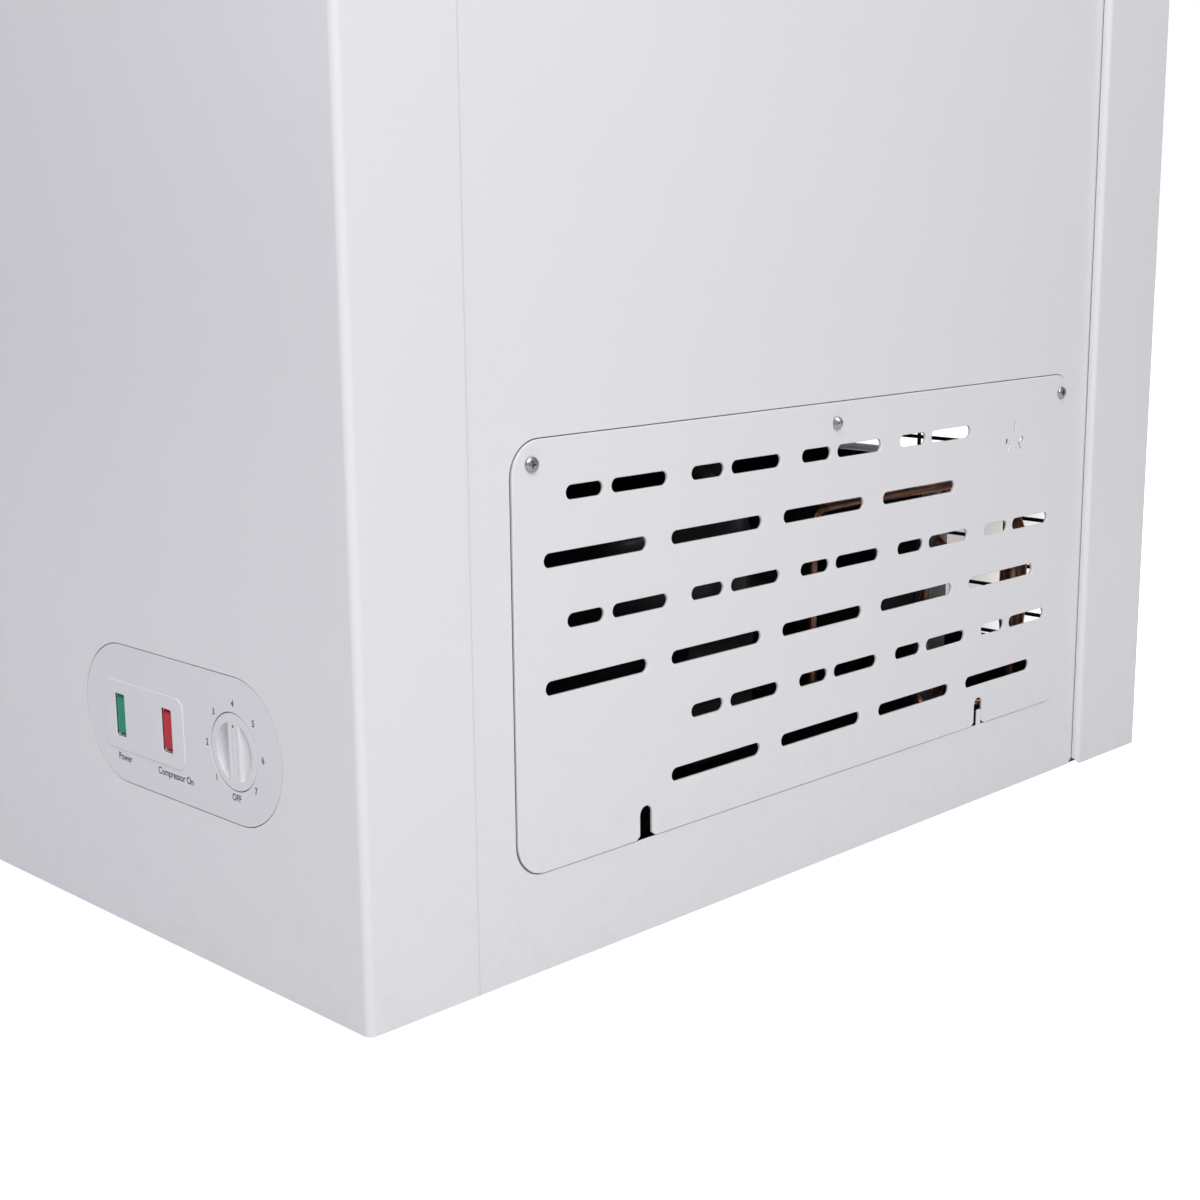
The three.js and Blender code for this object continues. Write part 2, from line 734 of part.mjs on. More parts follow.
const FAN = { x: 389, z: 132, radius: 72, y: [152, 178] };
const STRAP_Y = [142, 145];
function fanShroud() {
  const plate = [CONDENSER.y[0] - 5, CONDENSER.y[0] - GAP];
  const hole = disc(FAN.x, FAN.z, FAN.radius + 6);
  const collar = disc(FAN.x, FAN.z, FAN.radius + 9);
  const strapX = FAN.x + FAN.radius + 12;
  const legs = [strapX, 2 * FAN.x - strapX - 3].map((x) =>
    block([x, x + 3], [STRAP_Y[0], plate[1]], [FAN.z - 10, FAN.z + 10]),
  );
  const strap = block([2 * FAN.x - strapX - 3, strapX + 3], STRAP_Y, [FAN.z - 10, FAN.z + 10]);
  const body = join(
    block(CONDENSER.x, plate, [PAN_TOP + GAP, CONDENSER.z[1]]),
    alongY(collar, [plate[0] - 22, plate[1]], 10),
  );
  const pierced = cut(body, alongY(hole, [plate[0] - 30, plate[1] + 10], 10));
  return cut(
    join(pierced, strap, ...legs),
    alongY(disc(FAN.x, FAN.z, 4.5), grow(STRAP_Y, 2), 4),
  );
}
add("fan_shroud", fanShroud(), blackEnamel);
add(
  "fan_motor",
  turned(
    [
      [0, 0],
      [18, 0],
      [24, 5],
      [24, 42],
      [12, 46],
      [0, 46],
    ],
    16,
  )
    .rotateX(-Math.PI / 2)
    .translate(FAN.x, STRAP_Y[0] - GAP - 46, FAN.z),
  blackPlastic,
);

// Five pitched blades on a hub; the hub's shaft runs back through the strap.
function fanBlades() {
  const [y0, y1] = FAN.y;
  const hub = alongY(disc(0, 0, 19), [y0, y1 - 6], 6);
  const shaft = alongY(disc(0, 0, 3), [STRAP_Y[0] + 0.5, y0 + 5], 3);
  const blades = [];
  for (let i = 0; i < 5; i++) {
    const sweep = new THREE.Shape();
    sweep.moveTo(15, -9);
    sweep.lineTo(FAN.radius - 8, -24);
    sweep.absarc(0, 0, FAN.radius, -0.35, 0.3);
    sweep.lineTo(15, 9);
    blades.push(
      alongY(sweep, [-1, 1], 4)
        .rotateX(0.42)
        .rotateY((2 * Math.PI * i) / 5)
        .translate(0, y0 + 9, 0),
    );
  }
  return join(hub, shaft, ...blades).translate(FAN.x, 0, FAN.z);
}
add("fan_blades", fanBlades(), blackPlastic);

const TOUCH = COMPRESSOR.radius + 0.5; // pipes end this far from the compressor's axis
add(
  "suction_pipe",
  pipe(
    bent(
      [
        [COMPRESSOR.x, COMPRESSOR.y - TOUCH, 118],
        [COMPRESSOR.x, COMPRESSOR.y - TOUCH - 34, 118],
        [COMPRESSOR.x, COMPRESSOR.y - TOUCH - 34, PLANT_TOP],
      ],
      18,
    ),
    4,
  ),
  copper,
);
add(
  "discharge_pipe",
  pipe(
    bent(
      [
        [COMPRESSOR.x + 19, COMPRESSOR.y + TOUCH - 1.8, 88],
        [COMPRESSOR.x + 19, COMPRESSOR.y + TOUCH + 16, 88],
        [490, 67, 96],
        [490, 67, 215],
        [490, 222, 215],
        [CONDENSER.x[1] + GAP, 222, 215],
      ],
      10,
    ),
    3.2,
  ),
  copper,
);

const DRIER = { x: 503, y: 276, z: [92, 186] };
add(
  "filter_drier",
  turned(
    [
      [0, DRIER.z[0] - 8],
      [4, DRIER.z[0] - 8],
      [4, DRIER.z[0]],
      [10, DRIER.z[0] + 9],
      [10, DRIER.z[1] - 9],
      [4, DRIER.z[1]],
      [2.4, DRIER.z[1] + 8],
      [0, DRIER.z[1] + 8],
    ],
    16,
  ).translate(DRIER.x, DRIER.y, 0),
  copper,
);
add(
  "liquid_pipe",
  pipe(
    bent(
      [
        [CONDENSER.x[1] + GAP, 233, 58],
        [DRIER.x, 233, 58],
        [DRIER.x, DRIER.y, 58],
        [DRIER.x, DRIER.y, DRIER.z[0] - 8 - GAP],
      ],
      10,
    ),
    3.2,
  ),
  copper,
);

// The capillary leaves the drier, makes three spare turns and goes up into the foam.
function capillary() {
  const turns = 3;
  const stepsPerTurn = 12;
  const radius = 21;
  const start = DRIER.z[1] + 8 + GAP;
  const points = [new THREE.Vector3(DRIER.x, DRIER.y, start)];
  for (let i = 0; i <= turns * stepsPerTurn; i++) {
    const angle = Math.PI + (2 * Math.PI * i) / stepsPerTurn;
    points.push(
      new THREE.Vector3(
        DRIER.x + radius + radius * Math.cos(angle),
        DRIER.y + radius * Math.sin(angle),
        start + 12 + (6 * i) / stepsPerTurn,
      ),
    );
  }
  points.push(new THREE.Vector3(DRIER.x, DRIER.y, start + 46));
  points.push(new THREE.Vector3(DRIER.x, DRIER.y, PLANT_TOP));
  return pipe(points, 1.3, 6);
}
add("capillary_tube", capillary(), copper);

// The evaporator winds round the outside of the tub, in the band where the foam stands back.
function evaporator() {
  const turns = 5;
  const stand = 5.9; // tub to the centreline
  const radius = TUB_CORNER + stand;
  const [x, y] = [TUB_X + stand - radius, TUB_Y + stand - radius];
  const corners = [
    [x, y],
    [-x, y],
    [-x, -y],
    [x, -y],
  ];
  const steps = 4;
  const [low, high] = [COIL_BAND[0] + 16, COIL_BAND[1] - 16];
  const total = turns * corners.length * (steps + 1);
  const points = [];
  for (let i = 0; i < total; i++) {
    const quarter = Math.floor(i / (steps + 1));
    const [cx, cy] = corners[quarter % 4];
    const angle = (quarter + (i % (steps + 1)) / steps) * (Math.PI / 2);
    const z = low + ((high - low) * i) / (total - 1);
    points.push(new THREE.Vector3(cx + radius * Math.cos(angle), cy + radius * Math.sin(angle), z));
  }
  return pipe(points, 3.2, 6);
}
add("evaporator_coil", evaporator(), copper);

// ---- electrics -----------------------------------------------------------------------------
const TERMINAL = { x: [PLANT_X + 2, PLANT_X + 14], y: [70, 140], z: [70, 140] };
add(
  "terminal_box",
  join(
    block(TERMINAL.x, TERMINAL.y, TERMINAL.z),
    block([TERMINAL.x[0], TERMINAL.x[1] + 20], grow(TERMINAL.y, -6), grow(TERMINAL.z, -6)),
  ),
  blackPlastic,
);

const LAMP_BEZEL = { x: fromRight(184.3), z: aboveBase(118.6), width: 77, height: 38, stand: 0.4 };
const LAMP = { width: 9.4, height: 23.4, inset: 22.75 };
const lampX = [LAMP_BEZEL.x - LAMP.inset, LAMP_BEZEL.x + LAMP.inset];

const lampShape = (x, clearance) =>
  outline(
    [x - LAMP.width / 2 + clearance, LAMP_BEZEL.z - LAMP.height / 2 + clearance],
    [x + LAMP.width / 2 - clearance, LAMP_BEZEL.z - LAMP.height / 2 + clearance],
    [x + LAMP.width / 2 - clearance, LAMP_BEZEL.z + LAMP.height / 2 - clearance],
    [x - LAMP.width / 2 + clearance, LAMP_BEZEL.z + LAMP.height / 2 - clearance],
  );
const lampBezel = roundedRect(
  [LAMP_BEZEL.x - LAMP_BEZEL.width / 2, LAMP_BEZEL.x + LAMP_BEZEL.width / 2],
  [LAMP_BEZEL.z - LAMP_BEZEL.height / 2, LAMP_BEZEL.z + LAMP_BEZEL.height / 2],
  6,
);
add(
  "control_panel",
  cut(
    join(
      panelBlock(0, PANEL_DEPTH),
      panelBlock(PANEL_LAP, [FRONT + SHEET + GAP, PANEL_DEPTH[1]]),
      alongY(lampBezel, [PANEL_DEPTH[0] - LAMP_BEZEL.stand, PANEL_DEPTH[1] - GAP], 3),
    ),
    ...lampX.map((x) => alongY(lampShape(x, 0), [FRONT - 10, FRONT + 10])),
    alongY(disc(knobX, knobZ, KNOB.radius + 0.5), [FRONT - 10, FRONT + 10], 8),
  ),
  whitePlastic,
);

// A lens with sloped ends, set a little below the bezel, in front of its lamp body.
function indicator(x) {
  const top = PANEL_DEPTH[0] + GAP;
  const lens = alongY(lampShape(x, 0.3), [top, FRONT + 22]);
  const wedge = (side) =>
    block([x - 10, x + 10], [-3, 3], [-3, 3])
      .applyMatrix4(new THREE.Matrix4().makeRotationX(Math.PI / 4))
      .translate(0, top - 1.8, LAMP_BEZEL.z + side * (LAMP.height / 2));
  return cut(lens, wedge(-1), wedge(1));
}
add("power_lens", indicator(lampX[0]), greenLens);
add("compressor_lens", indicator(lampX[1]), redLens);

// Flush dial: two hollowed crescents leave a grip bar across the middle, with two fine grooves.
const KNOB_FACE = PANEL_DEPTH[0] + 0.2;
const KNOB_BACK = FRONT + 10;
const CRESCENT = { radius: 15.6, from: 5, depth: 6 }; // from: half width of the grip bar
function thermostatKnob() {
  const body = turned(
    [
      [0, -KNOB_BACK],
      [KNOB.radius, -KNOB_BACK],
      [KNOB.radius, -KNOB_FACE - 0.8],
      [KNOB.radius - 1, -KNOB_FACE],
      [0, -KNOB_FACE],
    ],
    40,
  ).rotateX(Math.PI / 2);
  const stem = alongY(disc(0, 0, 5), [KNOB_BACK - 1, KNOB_BACK + 5], 4);
  const crescent = (side) => {
    const shape = new THREE.Shape();
    const reach = Math.acos(CRESCENT.from / CRESCENT.radius);
    const start = side > 0 ? -reach : Math.PI - reach;
    shape.absarc(0, 0, CRESCENT.radius, start, start + 2 * reach);
    return alongY(shape, [KNOB_FACE - 1, KNOB_FACE + CRESCENT.depth], 8);
  };
  const groove = (x) => block([x - 0.5, x + 0.5], [KNOB_FACE - 1, KNOB_FACE + 0.7], [-12, 10]);
  return cut(join(body, stem), crescent(-1), crescent(1), groove(-1.6), groove(1.6)).translate(
    knobX,
    0,
    knobZ,
  );
}
add("thermostat_knob", thermostatKnob(), whitePlastic);
add(
  "thermostat_body",
  join(
    block([knobX - 19, knobX + 19], [FRONT + 24, FRONT + 52], [knobZ - 15, knobZ + 15]),
    alongY(disc(knobX, knobZ, 6), [KNOB_BACK + 5 + GAP, FRONT + 25], 4),
  ),
  galvanised,
);
add(
  "control_box",
  cut(
    block(CONTROL_BOX.x, CONTROL_BOX.y, CONTROL_BOX.z),
    block(
      grow(CONTROL_BOX.x, -CONTROL_BOX.wall),
      [CONTROL_BOX.y[0] - 1, CONTROL_BOX.y[1] - CONTROL_BOX.wall],
      grow(CONTROL_BOX.z, -CONTROL_BOX.wall),
    ),
    alongY(disc(knobX, knobZ + 8, SENSOR_HOLE), grow(CONTROL_BOX.y, 5), 4),
  ),
  whitePlastic,
);
add(
  "sensing_tube",
  pipe(
    bent(
      [
        [knobX, FRONT + 52 + GAP, knobZ + 8],
        [knobX, -262, knobZ + 8],
        [knobX, -262, PLANT_TOP],
      ],
      9,
    ),
    1,
    6,
  ),
  copper,
);

// ---- lid -----------------------------------------------------------------------------------
const LID_X = RIGHT + LID_OVERHANG;
const LID_Y = REAR + LID_OVERHANG;
const LID_CORNER = 12;
const lidPlan = (inset) =>
  roundedRect([inset - LID_X, LID_X - inset], [inset - LID_Y, LID_Y - inset], LID_CORNER - inset);
const LID_SKIN = 1.2;
const LID_LINER = [LID_BOTTOM + 0.6, LID_BOTTOM + 3.6];
add(
  "lid_shell",
  cut(
    alongZ(lidPlan(0), [LID_BOTTOM, HEIGHT]),
    alongZ(lidPlan(LID_SKIN), [LID_BOTTOM - 1, HEIGHT - LID_SKIN]),
  ),
  whiteEnamel,
);
add("lid_foam", alongZ(lidPlan(LID_SKIN + GAP), [LID_LINER[1] + GAP, HEIGHT - LID_SKIN - GAP]), foam);
add("lid_liner", alongZ(lidPlan(LID_SKIN + GAP), LID_LINER), whitePlastic);
const SEAL_OUT = 35; // tub wall to the outside of the seal
add(
  "lid_gasket",
  ring(tubPlan(SEAL_OUT, TUB_X), tubPlan(SEAL_OUT - 16, TUB_X), [RIM_TOP + GAP, LID_LINER[0] - GAP]),
  greyRubber,
);

// A moulded pull: its root lies on the lid, and its lip hangs in front of the cabinet.
const HANDLE = { x: [-95, 95], lipBottom: 766, top: 842 };
const LIP = [-REAR - REACH, -REAR - REACH + 3.5];
const LOCK = { x: 68, z: 780, radius: 9 };
const rootFace = -LID_Y - GAP;
add(
  "lid_handle",
  cut(
    alongX(
      outline(
        [rootFace, HANDLE.top],
        [rootFace - 3.5, HANDLE.top],
        [LIP[0], HANDLE.top - 22],
        [LIP[0], HANDLE.lipBottom],
        [LIP[1], HANDLE.lipBottom],
        [LIP[1], 806],
        [rootFace - 4, 812],
        [rootFace, 812],
      ),
      HANDLE.x,
    ),
    alongY(disc(LOCK.x, LOCK.z, LOCK.radius + 2 * GAP), grow(LIP, 3), 8),
  ),
  whitePlastic,
);

// The lock turns in the lip; its tongue hangs down when open and points sideways when locked.
const TONGUE = [-REAR - 10, -REAR - 6.5];
function lockBarrel() {
  const barrel = alongY(disc(0, 0, LOCK.radius), [LIP[0] + 0.6, TONGUE[1]], 6);
  const tongue = alongY(roundedRect([-5, 5], [-26, 6], 4.5), TONGUE, 3);
  const keyway = block([-0.8, 0.8], [LIP[0] - 1, LIP[0] + 4], [-4, 4]);
  return cut(join(barrel, tongue), keyway).translate(LOCK.x, 0, LOCK.z);
}
add("lock_barrel", lockBarrel(), zinc);
add(
  "lock_keeper",
  join(
    block([LOCK.x + 12, LOCK.x + 42], [FRONT - 2.3, FRONT - GAP], [758, 790]),
    block([LOCK.x + 12, LOCK.x + 42], [TONGUE[0] - 1, FRONT - GAP], [787.5, 790]),
  ),
  zinc,
);

// ---- hinges: base with its riveted pin on the cabinet's back, leaf on the lid ---------------
const HINGE = { x: 380, y: REAR + 12.5, z: 798, knuckle: 7, pin: 3.5, half: 40, leafHalf: 18 };
function knuckle(from, to) {
  return alongX(disc(HINGE.y, HINGE.z, HINGE.knuckle), [from, to], 5);
}
const pin = (x, reach, clearance) =>
  alongX(disc(HINGE.y, HINGE.z, HINGE.pin + clearance), [x - reach, x + reach], 5);
for (const [side, x] of [
  ["left", -HINGE.x],
  ["right", HINGE.x],
]) {
  const back = REAR + GAP;
  const outer = [x - HINGE.half, x + HINGE.half];
  const arms = [
    [outer[0], x - HINGE.leafHalf - 0.5],
    [x + HINGE.leafHalf + 0.5, outer[1]],
  ];
  const arm = ([x0, x1]) => [
    knuckle(x0, x1),
    alongX(
      outline([back, 776], [back + 3, 776], [HINGE.y + 5, 794], [HINGE.y - 5, 794], [back, 786]),
      [x0, x1],
    ),
  ];
  add(
    `hinge_base_${side}`,
    join(
      block(outer, [back, back + 3], [700, 780]),
      ...arms.flatMap(arm),
      pin(x, HINGE.leafHalf + 5, 0),
    ),
    zinc,
  );
  const leafX = [x - HINGE.leafHalf, x + HINGE.leafHalf];
  const lidBack = LID_Y + GAP;
  add(
    `hinge_leaf_${side}`,
    cut(
      join(
        knuckle(...leafX),
        block(leafX, [lidBack, HINGE.y], [HINGE.z + 4, HINGE.z + 10]),
        block([x - 32, x + 32], [lidBack, lidBack + 3], [HINGE.z + 8, HEIGHT - 6]),
      ),
      pin(x, HINGE.half, GAP),
    ),
    zinc,
  );
}

// ---- hanging basket, as its outer shape ----------------------------------------------------
const BASKET = { x: [228, 484], y: 268, bottom: 565, wall: 4, corner: 24, hooks: [264, 424] };
const HOOK_Z = [LEDGE_TOP + GAP, LEDGE_TOP + GAP + 4];
function basket() {
  const { wall, corner } = BASKET;
  const side = [-BASKET.y, BASKET.y];
  const inside = roundedRect(grow(BASKET.x, -wall), grow(side, -wall), corner - wall);
  const hooks = BASKET.hooks.map((x) => block([x, x + 24], grow(side, LEDGE + 3), HOOK_Z));
  return cut(
    join(alongZ(roundedRect(BASKET.x, side, corner), [BASKET.bottom, HOOK_Z[1]], 3), ...hooks),
    alongZ(inside, [BASKET.bottom + wall, HOOK_Z[1] + 1], 3),
  );
}
add("basket", basket(), whitePlastic);

// ---- feet ----------------------------------------------------------------------------------
const FOOT_INSET = 62;
let footNumber = 0;
for (const x of [-1, 1]) {
  for (const y of [-1, 1]) {
    footNumber += 1;
    add(
      `foot_${footNumber}`,
      turned(
        [
          [0, 0],
          [19, 0],
          [21, 2],
          [22, FOOT - 3],
          [18, FOOT - GAP],
          [0, FOOT - GAP],
        ],
        20,
      ).translate(x * (RIGHT - FOOT_INSET), y * (REAR - FOOT_INSET), 0),
      blackPlastic,
    );
  }
}

export default freezer;
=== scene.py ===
import math

import bmesh
import bpy
from mathutils import Matrix, Vector


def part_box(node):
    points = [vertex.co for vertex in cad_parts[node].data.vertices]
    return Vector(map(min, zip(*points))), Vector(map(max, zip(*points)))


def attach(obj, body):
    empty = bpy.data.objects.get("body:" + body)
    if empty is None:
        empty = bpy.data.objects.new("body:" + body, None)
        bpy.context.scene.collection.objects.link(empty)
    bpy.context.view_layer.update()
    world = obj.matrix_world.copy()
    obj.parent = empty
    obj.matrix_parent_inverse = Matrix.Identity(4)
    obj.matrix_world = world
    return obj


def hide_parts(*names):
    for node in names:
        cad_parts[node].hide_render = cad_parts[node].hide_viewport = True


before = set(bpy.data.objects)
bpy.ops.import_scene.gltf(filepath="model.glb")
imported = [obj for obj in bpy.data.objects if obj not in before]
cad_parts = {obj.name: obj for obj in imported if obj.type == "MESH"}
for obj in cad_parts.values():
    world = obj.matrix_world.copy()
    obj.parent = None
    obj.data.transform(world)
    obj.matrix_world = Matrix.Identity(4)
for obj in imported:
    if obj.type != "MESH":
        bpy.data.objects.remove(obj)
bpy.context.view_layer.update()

# ---- camera ------------------------------------------------------------------------------------
# It looks down a little on the cabinet's lower right front corner, from in front and to the right.
def linked(name, data):
    obj = bpy.data.objects.new(name, data)
    scene.collection.objects.link(obj)
    return obj


scene = bpy.context.scene
scene.view_settings.view_transform = "Standard"
turn, lift, roll = math.radians(45.28), math.radians(11.72), math.radians(-0.54)
backward = Vector(
    (math.sin(turn) * math.cos(lift), -math.cos(turn) * math.cos(lift), math.sin(lift))
)
level_right = (-backward).cross(Vector((0, 0, 1))).normalized()
level_up = level_right.cross(-backward)
camera_right = level_right * math.cos(roll) + level_up * math.sin(roll)
camera_up = level_up * math.cos(roll) - level_right * math.sin(roll)
skin_low, skin_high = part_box("front_sheet")
corner = Vector((skin_high.x, skin_low.y, skin_low.z))
camera_place = Matrix.Translation(corner + Vector((0.659, -0.498, 0.379)))
camera_data = bpy.data.cameras.new("camera")
camera_data.lens = 56.1
camera_data.sensor_width = 36
camera_data.clip_start = 0.01
camera = linked("camera", camera_data)
camera_axes = Matrix((camera_right, camera_up, backward)).transposed()
camera.matrix_world = camera_place @ camera_axes.to_4x4()
scene.camera = camera


# ---- stage -------------------------------------------------------------------------------------
# A pale floor, with a painted shadow behind the cabinet, under plain white surroundings, lit by
# four soft boxes. The surroundings look whiter than the light they give.
def node(tree, kind, inputs=None, **settings):
    made = tree.nodes.new(kind)
    for key, value in settings.items():
        setattr(made, key, value)
    for key, value in (inputs or {}).items():
        if isinstance(value, bpy.types.NodeSocket):
            tree.links.new(value, made.inputs[key])
        else:
            made.inputs[key].default_value = value
    return made


def maths(tree, operation, a, b):
    return node(tree, "ShaderNodeMath", {0: a, 1: b}, operation=operation).outputs[0]


def blend(tree, factor, a, b, kind="MIX"):
    mixed = node(tree, "ShaderNodeMix", {0: factor, 6: a, 7: b}, data_type="RGBA", blend_type=kind)
    return mixed.outputs[2]


world = bpy.data.worlds.new("studio")
world.use_nodes = True
sky = world.node_tree
sky.nodes.clear()
seen = node(sky, "ShaderNodeLightPath")
lighting = node(sky, "ShaderNodeBackground", {"Color": (0.93, 0.93, 1.0, 1), "Strength": 0.33})
backdrop = node(sky, "ShaderNodeBackground", {"Color": (1, 1, 1, 1), "Strength": 1.0})
chosen = node(
    sky,
    "ShaderNodeMixShader",
    {0: seen.outputs["Is Camera Ray"], 1: lighting.outputs[0], 2: backdrop.outputs[0]},
)
node(sky, "ShaderNodeOutputWorld", {"Surface": chosen.outputs[0]})
scene.world = world

# A painted shadow darkens the floor behind the cabinet, in a patch that fades out towards four
# sides. Each side has a direction, and how far along it, in metres, the painted shadow is still
# full and already gone.
floor_material = bpy.data.materials.new("floor")
floor_material.use_nodes = True
floor_tree = floor_material.node_tree
floor_shader = floor_tree.nodes["Principled BSDF"]
floor_shader.inputs["Roughness"].default_value = 0.8
floor_shader.inputs["Emission Color"].default_value = (1, 1, 1, 1)
spot_on_floor = node(floor_tree, "ShaderNodeTexCoord").outputs["Object"]
outside_painted_shadow = 0.0
for direction, full, gone in (
    ((0.876, 0.482, 0), 0.45, 0.64),
    ((-0.876, -0.482, 0), 0.0, 0.55),
    ((0.482, -0.876, 0), -0.5, -0.3),
    ((-0.482, 0.876, 0), 1.1, 2.5),
):
    reach = node(
        floor_tree,
        "ShaderNodeVectorMath",
        {0: spot_on_floor, 1: direction},
        operation="DOT_PRODUCT",
    )
    edge = node(
        floor_tree,
        "ShaderNodeMapRange",
        {"Value": reach.outputs["Value"], "From Min": full, "From Max": gone},
        interpolation_type="SMOOTHSTEP",
    )
    outside_painted_shadow = maths(floor_tree, "MAXIMUM", outside_painted_shadow, edge.outputs[0])
# Seen directly, the floor glows white outside the painted shadow and not inside it; every ray also
# sees a faint glow.
seen_directly = node(floor_tree, "ShaderNodeLightPath").outputs["Is Camera Ray"]
seen_outside_painted_shadow = maths(floor_tree, "MULTIPLY", seen_directly, outside_painted_shadow)
glow = maths(floor_tree, "ADD", seen_outside_painted_shadow, 0.06)
floor_tree.links.new(glow, floor_shader.inputs["Emission Strength"])
# Painted shadow: the floor is taupe inside the patch and pale grey outside it.
floor_tone_and_painted_shadow = blend(floor_tree, outside_painted_shadow, (0.58, 0.535, 0.50, 1), (0.62, 0.62, 0.63, 1))
floor_tree.links.new(floor_tone_and_painted_shadow, floor_shader.inputs["Base Color"])
floor_mesh = bpy.data.meshes.new("floor")
floor_mesh.from_pydata([(-9, -9, 0), (9, -9, 0), (9, 9, 0), (-9, 9, 0)], [], [(0, 1, 2, 3)])
floor_mesh.materials.append(floor_material)
linked("floor", floor_mesh)


def softbox(name, place, aim, size, power, tint):
    data = bpy.data.lights.new(name, "AREA")
    data.shape = "RECTANGLE"
    data.size, data.size_y = size
    data.energy = power
    data.color = tint
    light = linked(name, data)
    light.location = place
    light.rotation_euler = (Vector(aim) - Vector(place)).to_track_quat("-Z", "Y").to_euler()


softbox("side key", (2.3, -1.25, 1.75), (0.5, -0.3, 0.35), (1.3, 1.3), 40, (1.0, 0.99, 0.985))
softbox("front fill", (-1.4, -2.6, 1.3), (0.1, -0.3, 0.35), (1.8, 1.4), 7.5, (0.76, 0.75, 1.0))
softbox("overhead", (0.4, -0.3, 3.2), (0.2, -0.1, 0.0), (2.8, 2.8), 45, (1.0, 1.0, 1.0))
softbox("rear fill", (-1.5, 2.7, 1.5), (-0.2, 0.3, 0.4), (1.8, 1.4), 14, (1.0, 1.0, 1.0))


# ---- finishes shared by several pieces ---------------------------------------------------------
# Groups that work out a surface's colour, roughness and relief from its place on the object; each
# material passes them on to its own shader.
def shader_group(name, inputs):
    tree = bpy.data.node_groups.new(name, "ShaderNodeTree")
    for label, value in inputs.items():
        kind = "NodeSocketFloat" if isinstance(value, float) else "NodeSocketColor"
        tree.interface.new_socket(label, in_out="INPUT", socket_type=kind).default_value = value
    for label, kind in (("Color", "Color"), ("Roughness", "Float"), ("Normal", "Vector")):
        tree.interface.new_socket(label, in_out="OUTPUT", socket_type="NodeSocket" + kind)
    return tree, node(tree, "NodeGroupInput").outputs, node(tree, "NodeGroupOutput").inputs


def noise(tree, vector, scale, detail=2.0, rough=0.5):
    made = node(
        tree,
        "ShaderNodeTexNoise",
        {"Vector": vector, "Scale": scale, "Detail": detail, "Roughness": rough},
    )
    return made.outputs["Fac"]


def remap(tree, value, low, high, to_low=0.0, to_high=1.0):
    made = node(
        tree,
        "ShaderNodeMapRange",
        {"Value": value, "From Min": low, "From Max": high, "To Min": to_low, "To Max": to_high},
    )
    return made.outputs[0]


def bump(tree, height, distance, strength=1.0):
    made = node(
        tree, "ShaderNodeBump", {"Height": height, "Distance": distance, "Strength": strength}
    )
    return made.outputs["Normal"]


def place(tree):
    return node(tree, "ShaderNodeTexCoord").outputs["Object"]


def stretched(tree, vector, scale):
    return node(tree, "ShaderNodeMapping", {"Vector": vector, "Scale": scale}).outputs[0]


# Sprayed paint: orange peel, faint cloudiness, small rubs, and grime that gathers low down.
paint, given, result = shader_group(
    "sprayed paint",
    {"Paint": (0.8, 0.8, 0.8, 1), "Gloss": 0.3, "Peel": 0.00002, "Grime": 0.15, "Rubs": 0.3},
)
spot = place(paint)
cloud = remap(paint, noise(paint, spot, 5.0, 4.0), 0.3, 0.7)
rub_field = noise(paint, stretched(paint, spot, (60, 60, 240)), 1.0, 6.0, 0.65)
rubs = maths(paint, "MULTIPLY", remap(paint, rub_field, 0.66, 0.74), given["Rubs"])
depth = node(paint, "ShaderNodeSeparateXYZ", {0: spot}).outputs["Z"]
low_down = remap(paint, depth, 0.12, 0.0)
speckle = remap(paint, noise(paint, spot, 70.0, 8.0, 0.7), 0.5, 0.75)
grime = maths(paint, "MULTIPLY", maths(paint, "MULTIPLY", low_down, speckle), given["Grime"])
clouded = maths(paint, "MULTIPLY", cloud, 0.04)
toned = blend(paint, clouded, given["Paint"], (0.60, 0.59, 0.57, 1))
rubbed = blend(paint, maths(paint, "MULTIPLY", rubs, 0.16), toned, (0.33, 0.33, 0.35, 1))
soiled = blend(paint, grime, rubbed, (0.23, 0.20, 0.17, 1))
paint.links.new(soiled, result["Color"])
dulled = maths(paint, "ADD", given["Gloss"], maths(paint, "MULTIPLY", cloud, 0.05))
dulled = maths(paint, "ADD", dulled, maths(paint, "MULTIPLY", rubs, 0.2))
dulled = maths(paint, "ADD", dulled, maths(paint, "MULTIPLY", grime, 0.5))
paint.links.new(dulled, result["Roughness"])
peel = noise(paint, spot, 330.0, 2.0)
paint.links.new(bump(paint, peel, given["Peel"]), result["Normal"])

# Moulded plastic: fine grain, slight yellowing in clouds, hairline scratches and dust on top faces.
moulding, given, result = shader_group(
    "moulded plastic",
    {"Tint": (0.8, 0.8, 0.8, 1), "Gloss": 0.4, "Grain": 0.00002, "Dust": 0.2, "Wear": 0.3},
)
spot = place(moulding)
cloud = remap(moulding, noise(moulding, spot, 9.0, 4.0), 0.3, 0.7)
hairs = noise(moulding, stretched(moulding, spot, (900, 900, 60)), 1.0, 3.0, 0.6)
hairs = maths(moulding, "MULTIPLY", remap(moulding, hairs, 0.64, 0.70), given["Wear"])
facing = node(moulding, "ShaderNodeNewGeometry").outputs["Normal"]
upward = node(moulding, "ShaderNodeSeparateXYZ", {0: facing}).outputs["Z"]
dusty = remap(moulding, noise(moulding, spot, 60.0, 7.0, 0.7), 0.4, 0.7)
settled = maths(moulding, "MULTIPLY", remap(moulding, upward, 0.5, 1.0), dusty)
settled = maths(moulding, "MULTIPLY", settled, given["Dust"])
yellowed = maths(moulding, "MULTIPLY", cloud, 0.07)
shade = blend(moulding, yellowed, given["Tint"], (0.48, 0.46, 0.40, 1))
shade = blend(moulding, maths(moulding, "MULTIPLY", hairs, 0.12), shade, (0.5, 0.5, 0.5, 1))
